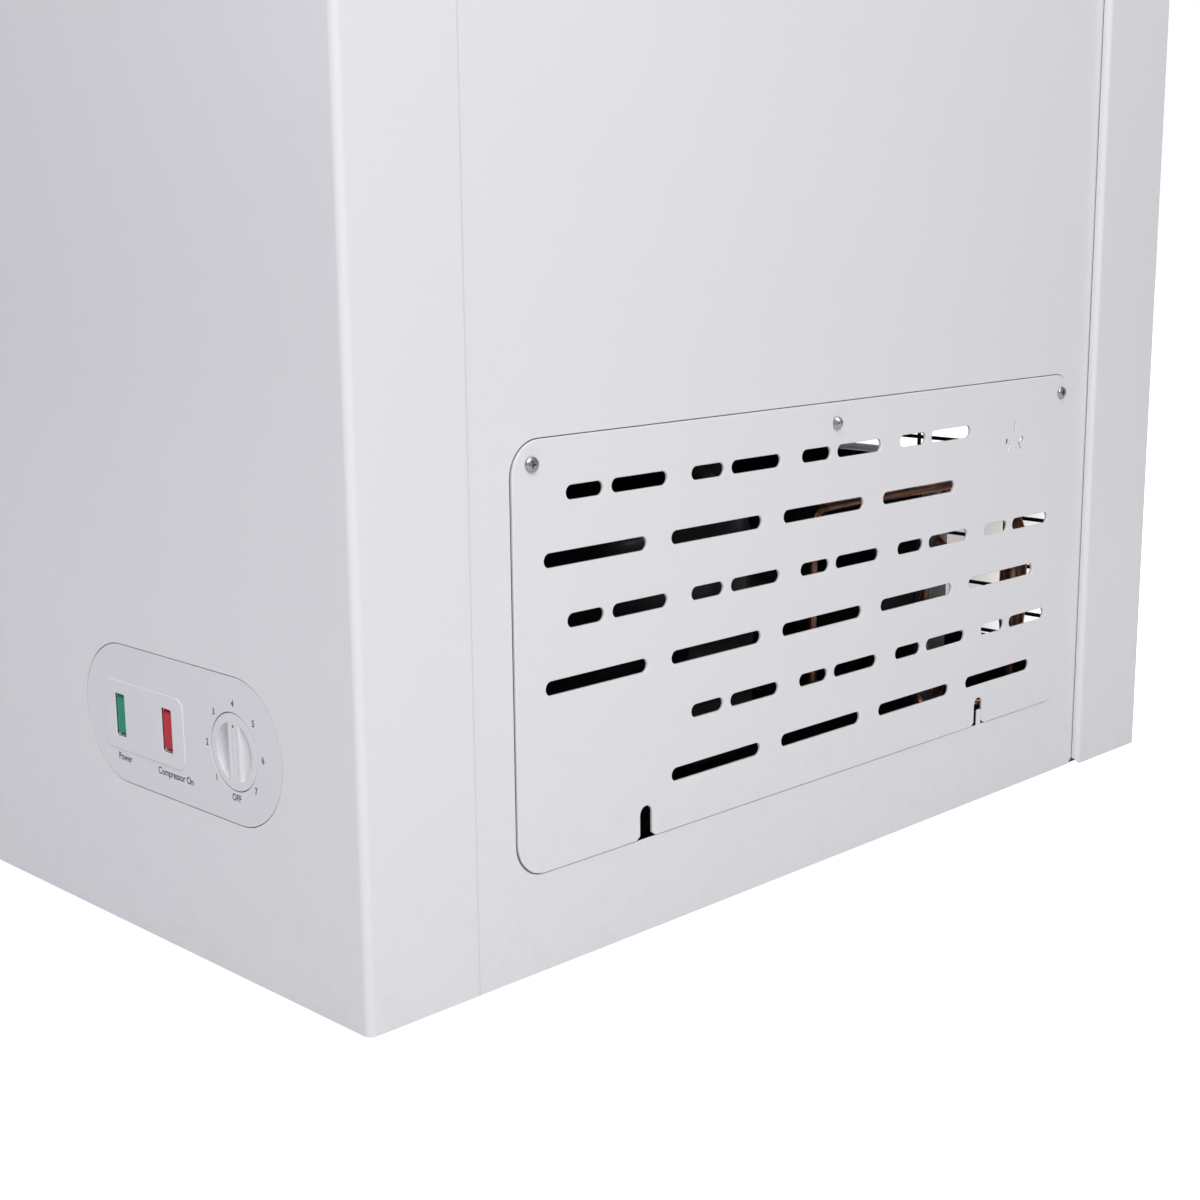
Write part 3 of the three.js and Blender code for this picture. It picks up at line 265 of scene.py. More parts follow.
moulding.links.new(blend(moulding, settled, shade, (0.42, 0.39, 0.35, 1)), result["Color"])
dull = maths(moulding, "ADD", given["Gloss"], maths(moulding, "MULTIPLY", settled, 0.6))
dull = maths(moulding, "ADD", dull, maths(moulding, "MULTIPLY", hairs, 0.15))
moulding.links.new(dull, result["Roughness"])
grain = noise(moulding, spot, 1400.0, 3.0)
moulding.links.new(bump(moulding, grain, given["Grain"]), result["Normal"])

# Bare or plated metal: crystalline patches, tarnish in stains, and rolling lines.
bare_metal, given, result = shader_group(
    "bare metal",
    {
        "Metal": (0.7, 0.7, 0.7, 1),
        "Stain": (0.3, 0.3, 0.3, 1),
        "Stained": 0.3,
        "Gloss": 0.3,
        "Patches": 40.0,
        "Patchy": 0.2,
        "Relief": 0.00002,
    },
)
spot = place(bare_metal)
cells = node(
    bare_metal,
    "ShaderNodeTexVoronoi",
    {"Vector": spot, "Scale": given["Patches"], "Randomness": 1.0},
)
cell_tone = node(bare_metal, "ShaderNodeSeparateXYZ", {0: cells.outputs["Color"]}).outputs[0]
cell_tone = maths(bare_metal, "MULTIPLY", cell_tone, given["Patchy"])
stains = remap(bare_metal, noise(bare_metal, spot, 45.0, 8.0, 0.65), 0.48, 0.66)
stains = maths(bare_metal, "MULTIPLY", stains, given["Stained"])
lines = noise(bare_metal, stretched(bare_metal, spot, (1500, 1500, 30)), 1.0, 2.0)
tone = blend(bare_metal, cell_tone, given["Metal"], (0.26, 0.28, 0.31, 1))
bare_metal.links.new(blend(bare_metal, stains, tone, given["Stain"]), result["Color"])
rough = maths(bare_metal, "ADD", given["Gloss"], maths(bare_metal, "MULTIPLY", cell_tone, 0.5))
rough = maths(bare_metal, "ADD", rough, maths(bare_metal, "MULTIPLY", stains, 0.35))
bare_metal.links.new(rough, result["Roughness"])
bare_metal.links.new(bump(bare_metal, lines, given["Relief"]), result["Normal"])


def finish(name, group, group_values, shader_values):
    """A material whose shader takes its varying inputs from a group and the rest as given."""
    made = bpy.data.materials.new(name)
    made.use_nodes = True
    tree = made.node_tree
    shader = tree.nodes["Principled BSDF"]
    varied = node(tree, "ShaderNodeGroup", node_tree=group)
    for label, value in group_values.items():
        varied.inputs[label].default_value = value
    tree.links.new(varied.outputs["Color"], shader.inputs["Base Color"])
    tree.links.new(varied.outputs["Roughness"], shader.inputs["Roughness"])
    tree.links.new(varied.outputs["Normal"], shader.inputs["Normal"])
    for label, value in shader_values.items():
        shader.inputs[label].default_value = value
    return made


# ---- cabinet skins -----------------------------------------------------------------------------
# Folded sheet: the front and rear skins wrap both corners and end in a rolled edge that stands
# out from the flat side skins. Builders below take millimetres and make meshes in metres.
def applied(obj):
    """The object's mesh with its modifiers applied."""
    graph = bpy.context.evaluated_depsgraph_get()
    return bpy.data.meshes.new_from_object(obj.evaluated_get(graph))


def used_up(obj):
    mesh = applied(obj)
    bpy.data.objects.remove(obj)
    return mesh


def piece(name, mesh, material, bevel=0.0, crease=38, segments=2):
    """An object whose edges over the crease angle are rounded by the bevel, in metres."""
    obj = linked(name.replace(" ", "_"), mesh)
    mesh.materials.clear()
    mesh.materials.append(material)
    mesh.shade_smooth()
    if bevel:
        rounding = obj.modifiers.new("rounding", "BEVEL")
        rounding.width = bevel
        rounding.segments = segments
        rounding.limit_method = "ANGLE"
        rounding.angle_limit = math.radians(crease)
        rounding.use_clamp_overlap = True
    else:
        mesh.set_sharp_from_angle(angle=math.radians(crease))
    flattening = obj.modifiers.new("flattening", "WEIGHTED_NORMAL")
    flattening.keep_sharp = True
    flattening.weight = 90
    mesh = applied(obj)
    obj.modifiers.clear()
    obj.data = mesh
    return obj


def from_bmesh(name, made, millimetres=True):
    bmesh.ops.remove_doubles(made, verts=made.verts, dist=1e-4 if millimetres else 1e-6)
    bmesh.ops.recalc_face_normals(made, faces=made.faces)
    if millimetres:
        bmesh.ops.scale(made, vec=(0.001, 0.001, 0.001), verts=made.verts)
    mesh = bpy.data.meshes.new(name)
    made.to_mesh(mesh)
    made.free()
    return mesh


def belongs(obj, body, slot, *nodes):
    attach(obj, body)
    if nodes:
        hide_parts(*nodes)
    return obj


def arc(u, v, radius, start, stop, steps=8):
    """Points on an arc, from one angle to the other, in degrees."""
    angles = [math.radians(start + (stop - start) * i / steps) for i in range(steps + 1)]
    return [(u + radius * math.cos(a), v + radius * math.sin(a)) for a in angles]


def rounded(u0, u1, v0, v1, radius, steps=8):
    """A closed loop round a rounded rectangle."""
    return (
        arc(u1 - radius, v0 + radius, radius, -90, 0, steps)
        + arc(u1 - radius, v1 - radius, radius, 0, 90, steps)
        + arc(u0 + radius, v1 - radius, radius, 90, 180, steps)
        + arc(u0 + radius, v0 + radius, radius, 180, 270, steps)
    )


def loft(name, rows):
    """A closed skin through rows of points, in millimetres; a row of one point is a tip."""
    made = bmesh.new()
    rings = [[made.verts.new(point) for point in row] for row in rows]
    for low, high in zip(rings, rings[1:]):
        for i in range(max(len(low), len(high))):
            near = (low[i % len(low)], low[(i + 1) % len(low)])
            far = (high[(i + 1) % len(high)], high[i % len(high)])
            made.faces.new(list(dict.fromkeys(near + far)))
    for ring in (rings[0], rings[-1]):
        if len(ring) > 1:
            made.faces.new(ring)
    return from_bmesh(name, made)


def folded_wall(name, plan, thickness, bottoms, top):
    """A closed strip of sheet that follows a plan; the plan runs with its outside on the left."""
    sections = []
    for i, (x, y) in enumerate(plan):
        before, after = plan[max(i - 1, 0)], plan[min(i + 1, len(plan) - 1)]
        along = Vector((after[0] - before[0], after[1] - before[1])).normalized()
        u, v = Vector((x, y)) + Vector((along.y, -along.x)) * thickness
        sections.append([(x, y, bottoms[i]), (x, y, top), (u, v, top), (u, v, bottoms[i])])
    return loft(name, sections)


def carve(mesh, cutter_mesh):
    """The mesh without the cutter's volume."""
    whole, cutter = linked("whole", mesh), linked("cutter", cutter_mesh)
    cutting = whole.modifiers.new("cutting", "BOOLEAN")
    cutting.object = cutter
    cutting.operation = "DIFFERENCE"
    cutting.solver = "EXACT"
    carved = used_up(whole)
    bpy.data.objects.remove(cutter)
    return carved


FACING_X = Matrix(((0, 0, 1, 0), (1, 0, 0, 0), (0, 1, 0, 0), (0, 0, 0, 1)))
FACING_Y = Matrix(((1, 0, 0, 0), (0, 0, -1, 0), (0, 1, 0, 0), (0, 0, 0, 1)))


def plate(name, loops, span, bevel, facing):
    """A flat plate with rounded edges: outlines and holes as loops, between two levels."""
    curve = bpy.data.curves.new(name, "CURVE")
    curve.dimensions = "2D"
    curve.fill_mode = "BOTH"
    curve.extrude = (span[1] - span[0]) / 2 - bevel
    curve.bevel_depth = bevel
    curve.bevel_resolution = 2
    curve.offset = -bevel
    for loop in loops:
        spline = curve.splines.new("POLY")
        spline.points.add(len(loop) - 1)
        for point, (u, v) in zip(spline.points, loop):
            point.co = (u, v, 0, 1)
        spline.use_cyclic_u = True
    made = bmesh.new()
    made.from_mesh(used_up(linked(name, curve)))
    bmesh.ops.translate(made, vec=(0, 0, (span[0] + span[1]) / 2), verts=made.verts)
    bmesh.ops.transform(made, matrix=facing, verts=made.verts)
    return from_bmesh(name, made)


white_enamel = finish(
    "white enamel",
    paint,
    {"Paint": (0.80, 0.80, 0.815, 1), "Gloss": 0.30, "Peel": 0.000012, "Grime": 0.10, "Rubs": 0.25},
    {"IOR": 1.5, "Coat Weight": 0.25, "Coat Roughness": 0.12},
)


SKIN_FACE, SKIN_FOOT, SKIN_TOP = 346, 20, 783
SIDE_FACE = 558.6


def wrapped_skin(name, side, half_width, flange, edge, lead, rise):
    """side is -1 in front and 1 behind; edge is the roll of the flange's free edge; lead is how far
    that roll goes on inwards; rise rounds the flange's lower corner."""
    face, bend = side * SKIN_FACE, 3.2
    end = face - side * flange
    half = [(half_width - edge - lead, end)]
    half += arc(half_width - edge, end + side * edge, edge, -side * 90, 0, 6)
    half += arc(half_width - bend, face - side * bend, bend, 0, side * 90, 10)
    plan = half + [(-x, y) for x, y in reversed(half)]
    bottoms = []
    for x, y in plan:
        back = min(abs(y - end), rise)
        bottoms.append(SKIN_FOOT + rise - math.sqrt(rise**2 - (rise - back) ** 2))
    if side < 0:
        plan, bottoms = plan[::-1], bottoms[::-1]
    return folded_wall(name, plan, 1.0, bottoms, SKIN_TOP)


def skin_hole(name, loop, side):
    """A cutter through the front or the rear skin."""
    span = (SKIN_FACE - 16, SKIN_FACE + 14) if side < 0 else (-SKIN_FACE - 14, 16 - SKIN_FACE)
    return plate(name, [loop], span, 0.01, FACING_Y)


panel_hole = skin_hole("panel hole", rounded(318.0, 500.0, 101.7, 178.3, 38.2, 24), -1)
front_mesh = carve(wrapped_skin("front skin", -1, 560, 68, 1.0, 0.2, 1.5), panel_hole)
front_skin = piece("front skin", front_mesh, white_enamel, 0.0004)
belongs(front_skin, "cabinet", "white_enamel", "front_sheet")

air_hole = skin_hole("rear opening", rounded(287, 541, 81, 304, 4), 1)
gland_hole = skin_hole("gland hole", arc(312, 52, 9.6, 0, 345, 23), 1)
rear_mesh = carve(wrapped_skin("rear skin", 1, 563.2, 75, 2.4, 1.6, 3.5), air_hole)
rear_skin = piece("rear skin", carve(rear_mesh, gland_hole), white_enamel, 0.0004)
belongs(rear_skin, "cabinet", "white_enamel", "rear_sheet")

# The side skins end in a slanted lower rear corner. The right one's opening has a small tongue at
# its foot, towards the rear.
side_outline = [
    (-290, SKIN_TOP), (-290, 18.7), (-180, 18.8), (266, 20.0), (271, 24), (283, 24), (283, SKIN_TOP)
]
vent_opening = rounded(-250.3, 249.5, 71.0, 292.5, 18.6, 12)
vent_opening += [(152.3, 71.0), (152.3, 80.2), (153.1, 81)]
vent_opening += [(156.0, 81), (156.8, 80.2), (156.8, 71.0)]
for side, span, openings in (
    ("left", (-SIDE_FACE, 1 - SIDE_FACE), []),
    ("right", (SIDE_FACE - 1, SIDE_FACE), [vent_opening]),
):
    name = f"{side} side skin"
    sheet = plate(name, [side_outline] + openings, span, 0.3, FACING_X)
    belongs(piece(name, sheet, white_enamel), "cabinet", "white_enamel", f"{side}_side_sheet")

# ---- slotted side plate ------------------------------------------------------------------------
# A pressed plate with rows of slots, two arched notches, one of them over the side skin's tongue,
# three cuts in a Y and three cross-head screws; a folded strip stands behind it.
SLOT_LENGTH, SLOT_HALF, SLOT_END = 73, 3.7, 3.69
ROW_PITCH, COLUMN_PITCH, PAIR_SHIFT = 32.4, 91.6, 15.6
slots = []
for row, (paired, first, count) in enumerate(
    [(True, 0, 4), (False, 0, 4), (True, 0, 5), (False, 0, 5), (True, 1, 4), (False, 1, 4)]
):
    low, high = (263.7 - ROW_PITCH * row + half for half in (-SLOT_HALF, SLOT_HALF))
    for column in range(first, first + count):
        start = -229.1 + COLUMN_PITCH * column + (PAIR_SHIFT if paired else 0)
        spans = [(0, 25.8), (31.9, SLOT_LENGTH)] if paired else [(0, SLOT_LENGTH)]
        slots += [rounded(start + a, start + b, low, high, SLOT_END, 7) for a, b in spans]

plate_foot, notch_half = 71.5, 4.6
plate_edge = rounded(-249.3, 249.0, plate_foot, 292.0, 18.2, 12)
for notch in (-157.5, 152.4):
    plate_edge += [(notch - 7.4, plate_foot), (notch - notch_half, 73.6)]
    plate_edge += arc(notch, 84.9, notch_half, 180, 0, 12)
    plate_edge += [(notch + notch_half, 73.6), (notch + 7.4, plate_foot)]

cuts_y, cut_width = 184, 1.1
screw_z, screws_y = 280.2, (-237, -0.3, 236.4)


def slit(y, z, length, tilt):
    across = Vector((math.cos(tilt), math.sin(tilt))) * cut_width / 2
    along = Vector((-math.sin(tilt), math.cos(tilt))) * length / 2
    middle = Vector((y, z))
    return [tuple(middle + a * across + b * along) for a, b in ((-1, -1), (1, -1), (1, 1), (-1, 1))]


pierced = [slit(cuts_y, 262.2, 7, 0)]
for side in (-1, 1):
    pierced.append(slit(cuts_y + side * 6.4, 249.6, 5.4, side * 0.55))
    pierced.append(arc(cuts_y + side * 8.6, 253.4, 1.9, 0, 345, 15))
screw_holes = [arc(y, screw_z, 2.3, 0, 340, 17) for y in screws_y]
plate_loops = [plate_edge] + slots + pierced + screw_holes
plate_enamel = finish(
    "plate enamel",
    paint,
    {"Paint": (0.80, 0.80, 0.815, 1), "Gloss": 0.27, "Peel": 0.00001, "Grime": 0.2, "Rubs": 0.7},
    {"IOR": 1.5, "Coat Weight": 0.3, "Coat Roughness": 0.1},
)
plate_mesh = plate("slotted plate", plate_loops, (557.4, 559.5), 0.6, FACING_X)
slotted_plate = piece("slotted plate", plate_mesh, plate_enamel)
belongs(slotted_plate, "cabinet", "white_enamel", "vent_grille")


def refined(name, node_name, body, material, slot, bevel, crease=38, segments=2):
    """A CAD node's counterpart: its flat facets are joined and its edges rounded."""
    made = bmesh.new()
    made.from_mesh(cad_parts[node_name].data)
    bmesh.ops.remove_doubles(made, verts=made.verts, dist=2e-6)
    bmesh.ops.dissolve_limit(
        made, angle_limit=math.radians(1), verts=made.verts, edges=made.edges
    )
    mesh = from_bmesh(name, made, millimetres=False)
    belongs(piece(name, mesh, material, bevel, crease, segments), body, slot, node_name)


galvanised = finish(
    "galvanised steel",
    bare_metal,
    {"Metal": (0.60, 0.62, 0.64, 1), "Stain": (0.42, 0.42, 0.41, 1), "Stained": 0.35, "Gloss": 0.36,
     "Patches": 130.0, "Patchy": 0.35, "Relief": 0.000004},
    {"Metallic": 1.0},
)
refined("vent strip", "vent_frame", "cabinet", galvanised, "galvanised_steel", 0.0003)

zinc = finish(
    "zinc plate",
    bare_metal,
    {"Metal": (0.46, 0.49, 0.51, 1), "Stain": (0.30, 0.31, 0.28, 1), "Stained": 0.35, "Gloss": 0.24,
     "Patches": 300.0, "Patchy": 0.12, "Relief": 0.000002},
    {"Metallic": 1.0},
)


def lathe(name, profile, centre, steps=64):
    """A solid of revolution from (radius, height) points that start and end on the axis."""
    rows = []
    for radius, level in profile:
        loop = arc(*centre, radius, 0, 360 - 360 / steps, steps - 1) if radius else [centre]
        rows.append([(u, v, level) for u, v in loop])
    return loft(name, rows)


def screw_mesh():
    """A pan head with a cross recess and a threaded shank, pointing along Z, its seat at zero."""
    profile = [(0.0, -9.0), (1.2, -8.4), (1.9, -7.6)]
    for thread in range(7):
        profile += [(1.9, -7.3 + thread), (1.45, -6.95 + thread)]
    profile += [(1.9, -0.1), (3.5, 0.3), (3.95, 0.5), (4.0, 0.8)]
    profile += [(3.85, 1.4), (3.3, 2.0), (2.4, 2.4), (0.0, 2.6)]
    cross = [(-2.3, -0.5), (-0.5, -0.5), (-0.5, -2.3), (0.5, -2.3), (0.5, -0.5), (2.3, -0.5)]
    cross += [(-x, -y) for x, y in cross]
    lower = [(x * 0.55, y * 0.9 if abs(y) < 1 else y * 0.55, 0.7) for x, y in cross]
    upper = [(x, y, 3.4) for x, y in cross]
    return carve(lathe("screw", profile, (0, 0), 24), loft("recess", [lower, upper]))


def node_tool(name, inputs):
    """A geometry group with the given extra inputs, and the identifiers of these."""
    tree = bpy.data.node_groups.new(name, "GeometryNodeTree")
    tree.interface.new_socket("Geometry", in_out="INPUT", socket_type="NodeSocketGeometry")
    names = {}
    for label, kind in inputs.items():
        socket = tree.interface.new_socket(label, in_out="INPUT", socket_type="NodeSocket" + kind)
        names[label] = socket.identifier
    tree.interface.new_socket("Geometry", in_out="OUTPUT", socket_type="NodeSocketGeometry")
    return tree, names, node(tree, "NodeGroupInput").outputs


def tool_result(tree, geometry, material):
    real = node(tree, "GeometryNodeRealizeInstances", {0: geometry})
    coating = {"Geometry": real.outputs[0], "Material": material}
    coated = node(tree, "GeometryNodeSetMaterial", coating)
    node(tree, "NodeGroupOutput", {0: coated.outputs[0]})


def instanced(name, template, points, turns, material):
    """Copies of a template mesh on points in millimetres, each turned by its own angles."""
    tree, names, entry = node_tool(name, {"Template": "Object", "Finish": "Material"})
    shape = node(tree, "GeometryNodeObjectInfo", {"Object": entry["Template"]}).outputs["Geometry"]
    turned = node(
        tree, "GeometryNodeInputNamedAttribute", {"Name": "turn"}, data_type="FLOAT_VECTOR"
    )
    rotation = node(tree, "FunctionNodeEulerToRotation", {0: turned.outputs[0]}).outputs[0]
    copies = node(
        tree,
        "GeometryNodeInstanceOnPoints",
        {"Points": entry["Geometry"], "Instance": shape, "Rotation": rotation},
    )
    tool_result(tree, copies.outputs[0], entry["Finish"])
    pattern = linked(name + " pattern", template)
    mesh = bpy.data.meshes.new(name)
    mesh.from_pydata([tuple(Vector(p) * 0.001) for p in points], [], [])
    attribute = mesh.attributes.new("turn", "FLOAT_VECTOR", "POINT")
    for i, angles in enumerate(turns):
        attribute.data[i].vector = angles
    holder = linked(name, mesh)
    spread = holder.modifiers.new("copies", "NODES")
    spread.node_group = tree
    spread[names["Template"]] = pattern
    spread[names["Finish"]] = material
    mesh = used_up(holder)
    bpy.data.objects.remove(pattern)
    return piece(name, mesh, material)


screws = instanced(
    "plate screws",
    screw_mesh(),
    [(559.4, y, screw_z) for y in screws_y],
    [(turned, math.pi / 2, 0) for turned in (0.3, 0.9, 0.15)],
    zinc,
)
belongs(screws, "cabinet", "zinc_plate", "grille_screw_1", "grille_screw_2", "grille_screw_3")


# ---- control panel -----------------------------------------------------------------------------
# A long moulding with rounded ends: a raised lamp bezel with two windows, a ring for the dial, and
# printed words and figures.
panel_plastic = finish(
    "panel plastic",
    moulding,
    {"Tint": (0.78, 0.775, 0.80, 1), "Gloss": 0.36, "Grain": 0.000008, "Dust": 0.25, "Wear": 0.35},
    {"IOR": 1.49, "Subsurface Weight": 0.04, "Subsurface Radius": (0.002, 0.002, 0.002)},
)
LAMPS_X, DIAL_X, DIAL_Z = (352.95, 398.45), 458.7, 139.2
windows = [rounded(x - 4.7, x + 4.7, 126.9, 150.3, 0.7, 3) for x in LAMPS_X]
face_loops = [
    rounded(318.5, 499.5, 102.2, 177.8, 37.7, 24), arc(DIAL_X, DIAL_Z, 20.4, 0, 357.5, 143)
]
bezel_loops = [rounded(337.2, 414.2, 119.6, 157.6, 6, 8)]
flange_loops = [
    rounded(315, 503, 98.7, 181.3, 41.2, 24), rounded(321.5, 496.5, 105.2, 174.8, 34.7, 24)
]


def merged(name, meshes):
    made = bmesh.new()
    for mesh in meshes:
        made.from_mesh(mesh)
    mesh = bpy.data.meshes.new(name)
    made.to_mesh(mesh)
    made.free()
    return mesh


panel_parts = [
    plate("panel face", face_loops + windows, (344.2, 346.9), 0.2, FACING_Y),
    plate("lamp bezel", bezel_loops + windows, (345.7, 347.3), 0.32, FACING_Y),
    plate("panel flange", flange_loops, (343.6, 344.6), 0.1, FACING_Y),
]
panel = piece("control panel", merged("control panel", panel_parts), panel_plastic)
belongs(panel, "cabinet", "panel_plastic", "control_panel")

ink = finish(
    "printing ink",
    moulding,
    {"Tint": (0.055, 0.065, 0.10, 1), "Gloss": 0.5, "Grain": 0.00001, "Dust": 0.1, "Wear": 0.5},
    {"IOR": 1.45},
)
printing = bmesh.new()
figures = zip(("3", "4", "5", "6", "7", "2", "1", "OFF"), (135, 90, 45, 0, -45, 180, 225, 270))
words = [(figure, *arc(459.6, 139.9, 24.2, angle, angle, 1)[0], 4.9) for figure, angle in figures]
words += [("Power", 355.0, 115.4, 5.4), ("Compressor On", 404.2, 115.4, 5.4)]
for word, x, z, size in words:
    text = bpy.data.curves.new(word, "FONT")
    text.body = word
    text.size = size
    text.align_x = "CENTER"
    text.align_y = "CENTER"
    text.extrude = 0.02
    text.offset = 0.1
    mesh = used_up(linked(word, text))
    narrowed = Matrix.Scale(0.92, 4, (1, 0, 0))
    mesh.transform(Matrix.Translation((x, -346.92, z)) @ FACING_Y @ narrowed)
    printing.from_mesh(mesh)
belongs(piece("printing", from_bmesh("printing", printing), ink, 0, 30), "cabinet", "panel_plastic")


# ---- indicator lenses and dial -----------------------------------------------------------------
# Each lens shows ribs inside its flat front, which slopes back at its upper and lower ends. The
# dial is one height field: two crescent hollows beside a grip bar with two grooves and a red mark.
def lens_mesh(x):
    lower = [(-11.3, -322), (-11.3, -344.5), (-9.2, -346.6)]
    outline = lower + [(-z, y) for z, y in lower[::-1]]
    return loft("lens", [[(x + u, y, 138.6 + z) for z, y in outline] for u in (-4.35, 4.35)])


def lens_finish(name, tint, glow):
    """Tinted clear plastic: fine ribs inside show as bands, brighter across the middle. A faint
    painted glow in the tint brightens the lens as if light passed through it.
    """
    made = bpy.data.materials.new(name)
    made.use_nodes = True
    tree = made.node_tree
    shader = tree.nodes["Principled BSDF"]
    spot = place(tree)
    ribs = node(
        tree,
        "ShaderNodeTexWave",
        {"Vector": spot, "Scale": 420.0, "Distortion": 0.4},
        wave_type="BANDS",
        bands_direction="Z",
    ).outputs["Fac"]
    clouds = noise(tree, spot, 160.0, 4.0)
    ribbed = maths(tree, "MULTIPLY", ribs, 0.25)
    shade = blend(tree, ribbed, tint, (0.9, 0.95, 0.95, 1), "SOFT_LIGHT")
    shade = blend(tree, maths(tree, "MULTIPLY", clouds, 0.25), shade, (0.02, 0.02, 0.02, 1))
    tree.links.new(shade, shader.inputs["Base Color"])
    tree.links.new(remap(tree, clouds, 0.3, 0.7, 0.15, 0.3), shader.inputs["Roughness"])
    tree.links.new(bump(tree, ribs, 0.00004), shader.inputs["Normal"])
    shader.inputs["Specular IOR Level"].default_value = 0.25
    # Painted glow: a faint emission in the lens's own tint, not a lit lamp.
    shader.inputs["Emission Color"].default_value = tint
    shader.inputs["Emission Strength"].default_value = glow
    return made


for lamp, x, glass in (
    ("power", LAMPS_X[0], lens_finish("green lens", (0.0, 0.25, 0.14, 1), 0.12)),
    ("compressor", LAMPS_X[1], lens_finish("red lens", (0.52, 0.008, 0.03, 1), 0.06)),
):
    lens = piece(f"{lamp} lens", lens_mesh(x), glass, 0.0003)
    belongs(lens, "cabinet", glass.name.replace(" ", "_"), f"{lamp}_lens")

DIAL_FACE, DIAL_RADIUS = -346.7, 19.9
radii = [0.01, 0.5] + [1 + 0.4 * i for i in range(37)]
radii += [15.6, 15.8, 16.2, 17, 18, 18.9, 19.3, 19.6, 19.8, DIAL_RADIUS]


def ease(value, low, high):
    share = min(max((value - low) / (high - low), 0), 1)
    return share * share * (3 - 2 * share)


def dial_depth(x, z):
    """How far the dial's face lies behind its rim, in millimetres."""
    reach = math.hypot(x, z)
    inside = 1 - ease(reach, 14.8, 15.3)
    flank = ease(abs(x), 4.7, 5.8) * 2.2 + ease(abs(x), 5.4, 14.5) * 6.6
    groove = 0.55 * ease(0.62 - abs(abs(x) - 1.7), 0, 0.25) * (1 - ease(abs(z + 0.6), 11.4, 11.9))
    edge = 0.35 * ease(reach, DIAL_RADIUS - 0.5, DIAL_RADIUS) ** 2
    return max(flank * inside, groove) + edge


def dial_ring(radius, level=None):
    """Points round the dial's axis, on its face or at a level of their own."""
    ring = arc(0, 0, radius, 0, 358, 179)
    if level is None:
        return [(DIAL_X + u, DIAL_FACE + dial_depth(u, v), DIAL_Z + v) for u, v in ring]
    return [(DIAL_X + u, level, DIAL_Z + v) for u, v in ring]


dial_rows = [dial_ring(radius) for radius in radii]
for radius, level in ((DIAL_RADIUS, -344.0), (DIAL_RADIUS, -336.0), (5.0, -336.0), (5.0, -331.0)):
    dial_rows.append(dial_ring(radius, level))
dial = piece("thermostat dial", loft("thermostat dial", dial_rows), panel_plastic, 0, 60)
belongs(dial, "thermostat_dial", "panel_plastic", "thermostat_knob")
red_ink = finish(
    "red ink",
    moulding,
    {"Tint": (0.50, 0.02, 0.03, 1), "Gloss": 0.4, "Grain": 0.00001, "Dust": 0.05, "Wear": 0.3},
    {"IOR": 1.45},
)
mark_loop = arc(DIAL_X, 152.4, 0.75, 0, 345, 23)
mark_mesh = plate("dial mark", [mark_loop], (346.5, 346.76), 0.05, FACING_Y)
belongs(piece("dial mark", mark_mesh, red_ink), "thermostat_dial", "panel_plastic")
refined("thermostat body", "thermostat_body", "cabinet", galvanised, "galvanised_steel", 0.0006)

# ---- base, feet, corner post and lining --------------------------------------------------------
# Folded black sheet under the foam and round the compressor, on four moulded feet.
black_enamel = finish(
    "black enamel",
    paint,
    {"Paint": (0.018, 0.018, 0.020, 1), "Gloss": 0.34, "Peel": 0.00002, "Grime": 0.25, "Rubs": 0.5},
    {"IOR": 1.5, "Coat Weight": 0.1},
)
black_plastic = finish(
    "black plastic",
    moulding,
    {"Tint": (0.022, 0.022, 0.024, 1), "Gloss": 0.45, "Grain": 0.00003, "Dust": 0.35, "Wear": 0.4},
    {"IOR": 1.5},
)
for label, node_name in (
    ("base pan", "base_pan"),
    ("corner post", "rear_corner_post"),
    ("compartment lining", "compartment_lining"),
):
    refined(label, node_name, "cabinet", black_enamel, "black_enamel", 0.00025)
for index in range(1, 5):
    foot = f"foot_{index}"
    refined(f"foot {index}", foot, "cabinet", black_plastic, "black_plastic", 0.0012, 40, 3)
refined("cord gland", "cord_gland", "cabinet", black_plastic, "black_plastic", 0.0005, 40)

foam = finish(
    "foam",
    moulding,
    {"Tint": (0.72, 0.60, 0.32, 1), "Gloss": 0.85, "Grain": 0.0004, "Dust": 0.3, "Wear": 0.1},
    {"IOR": 1.3},
)
for node_name in ("foam_core", "lid_foam"):
    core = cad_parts[node_name]
    core.data.materials.clear()
    core.data.materials.append(foam)


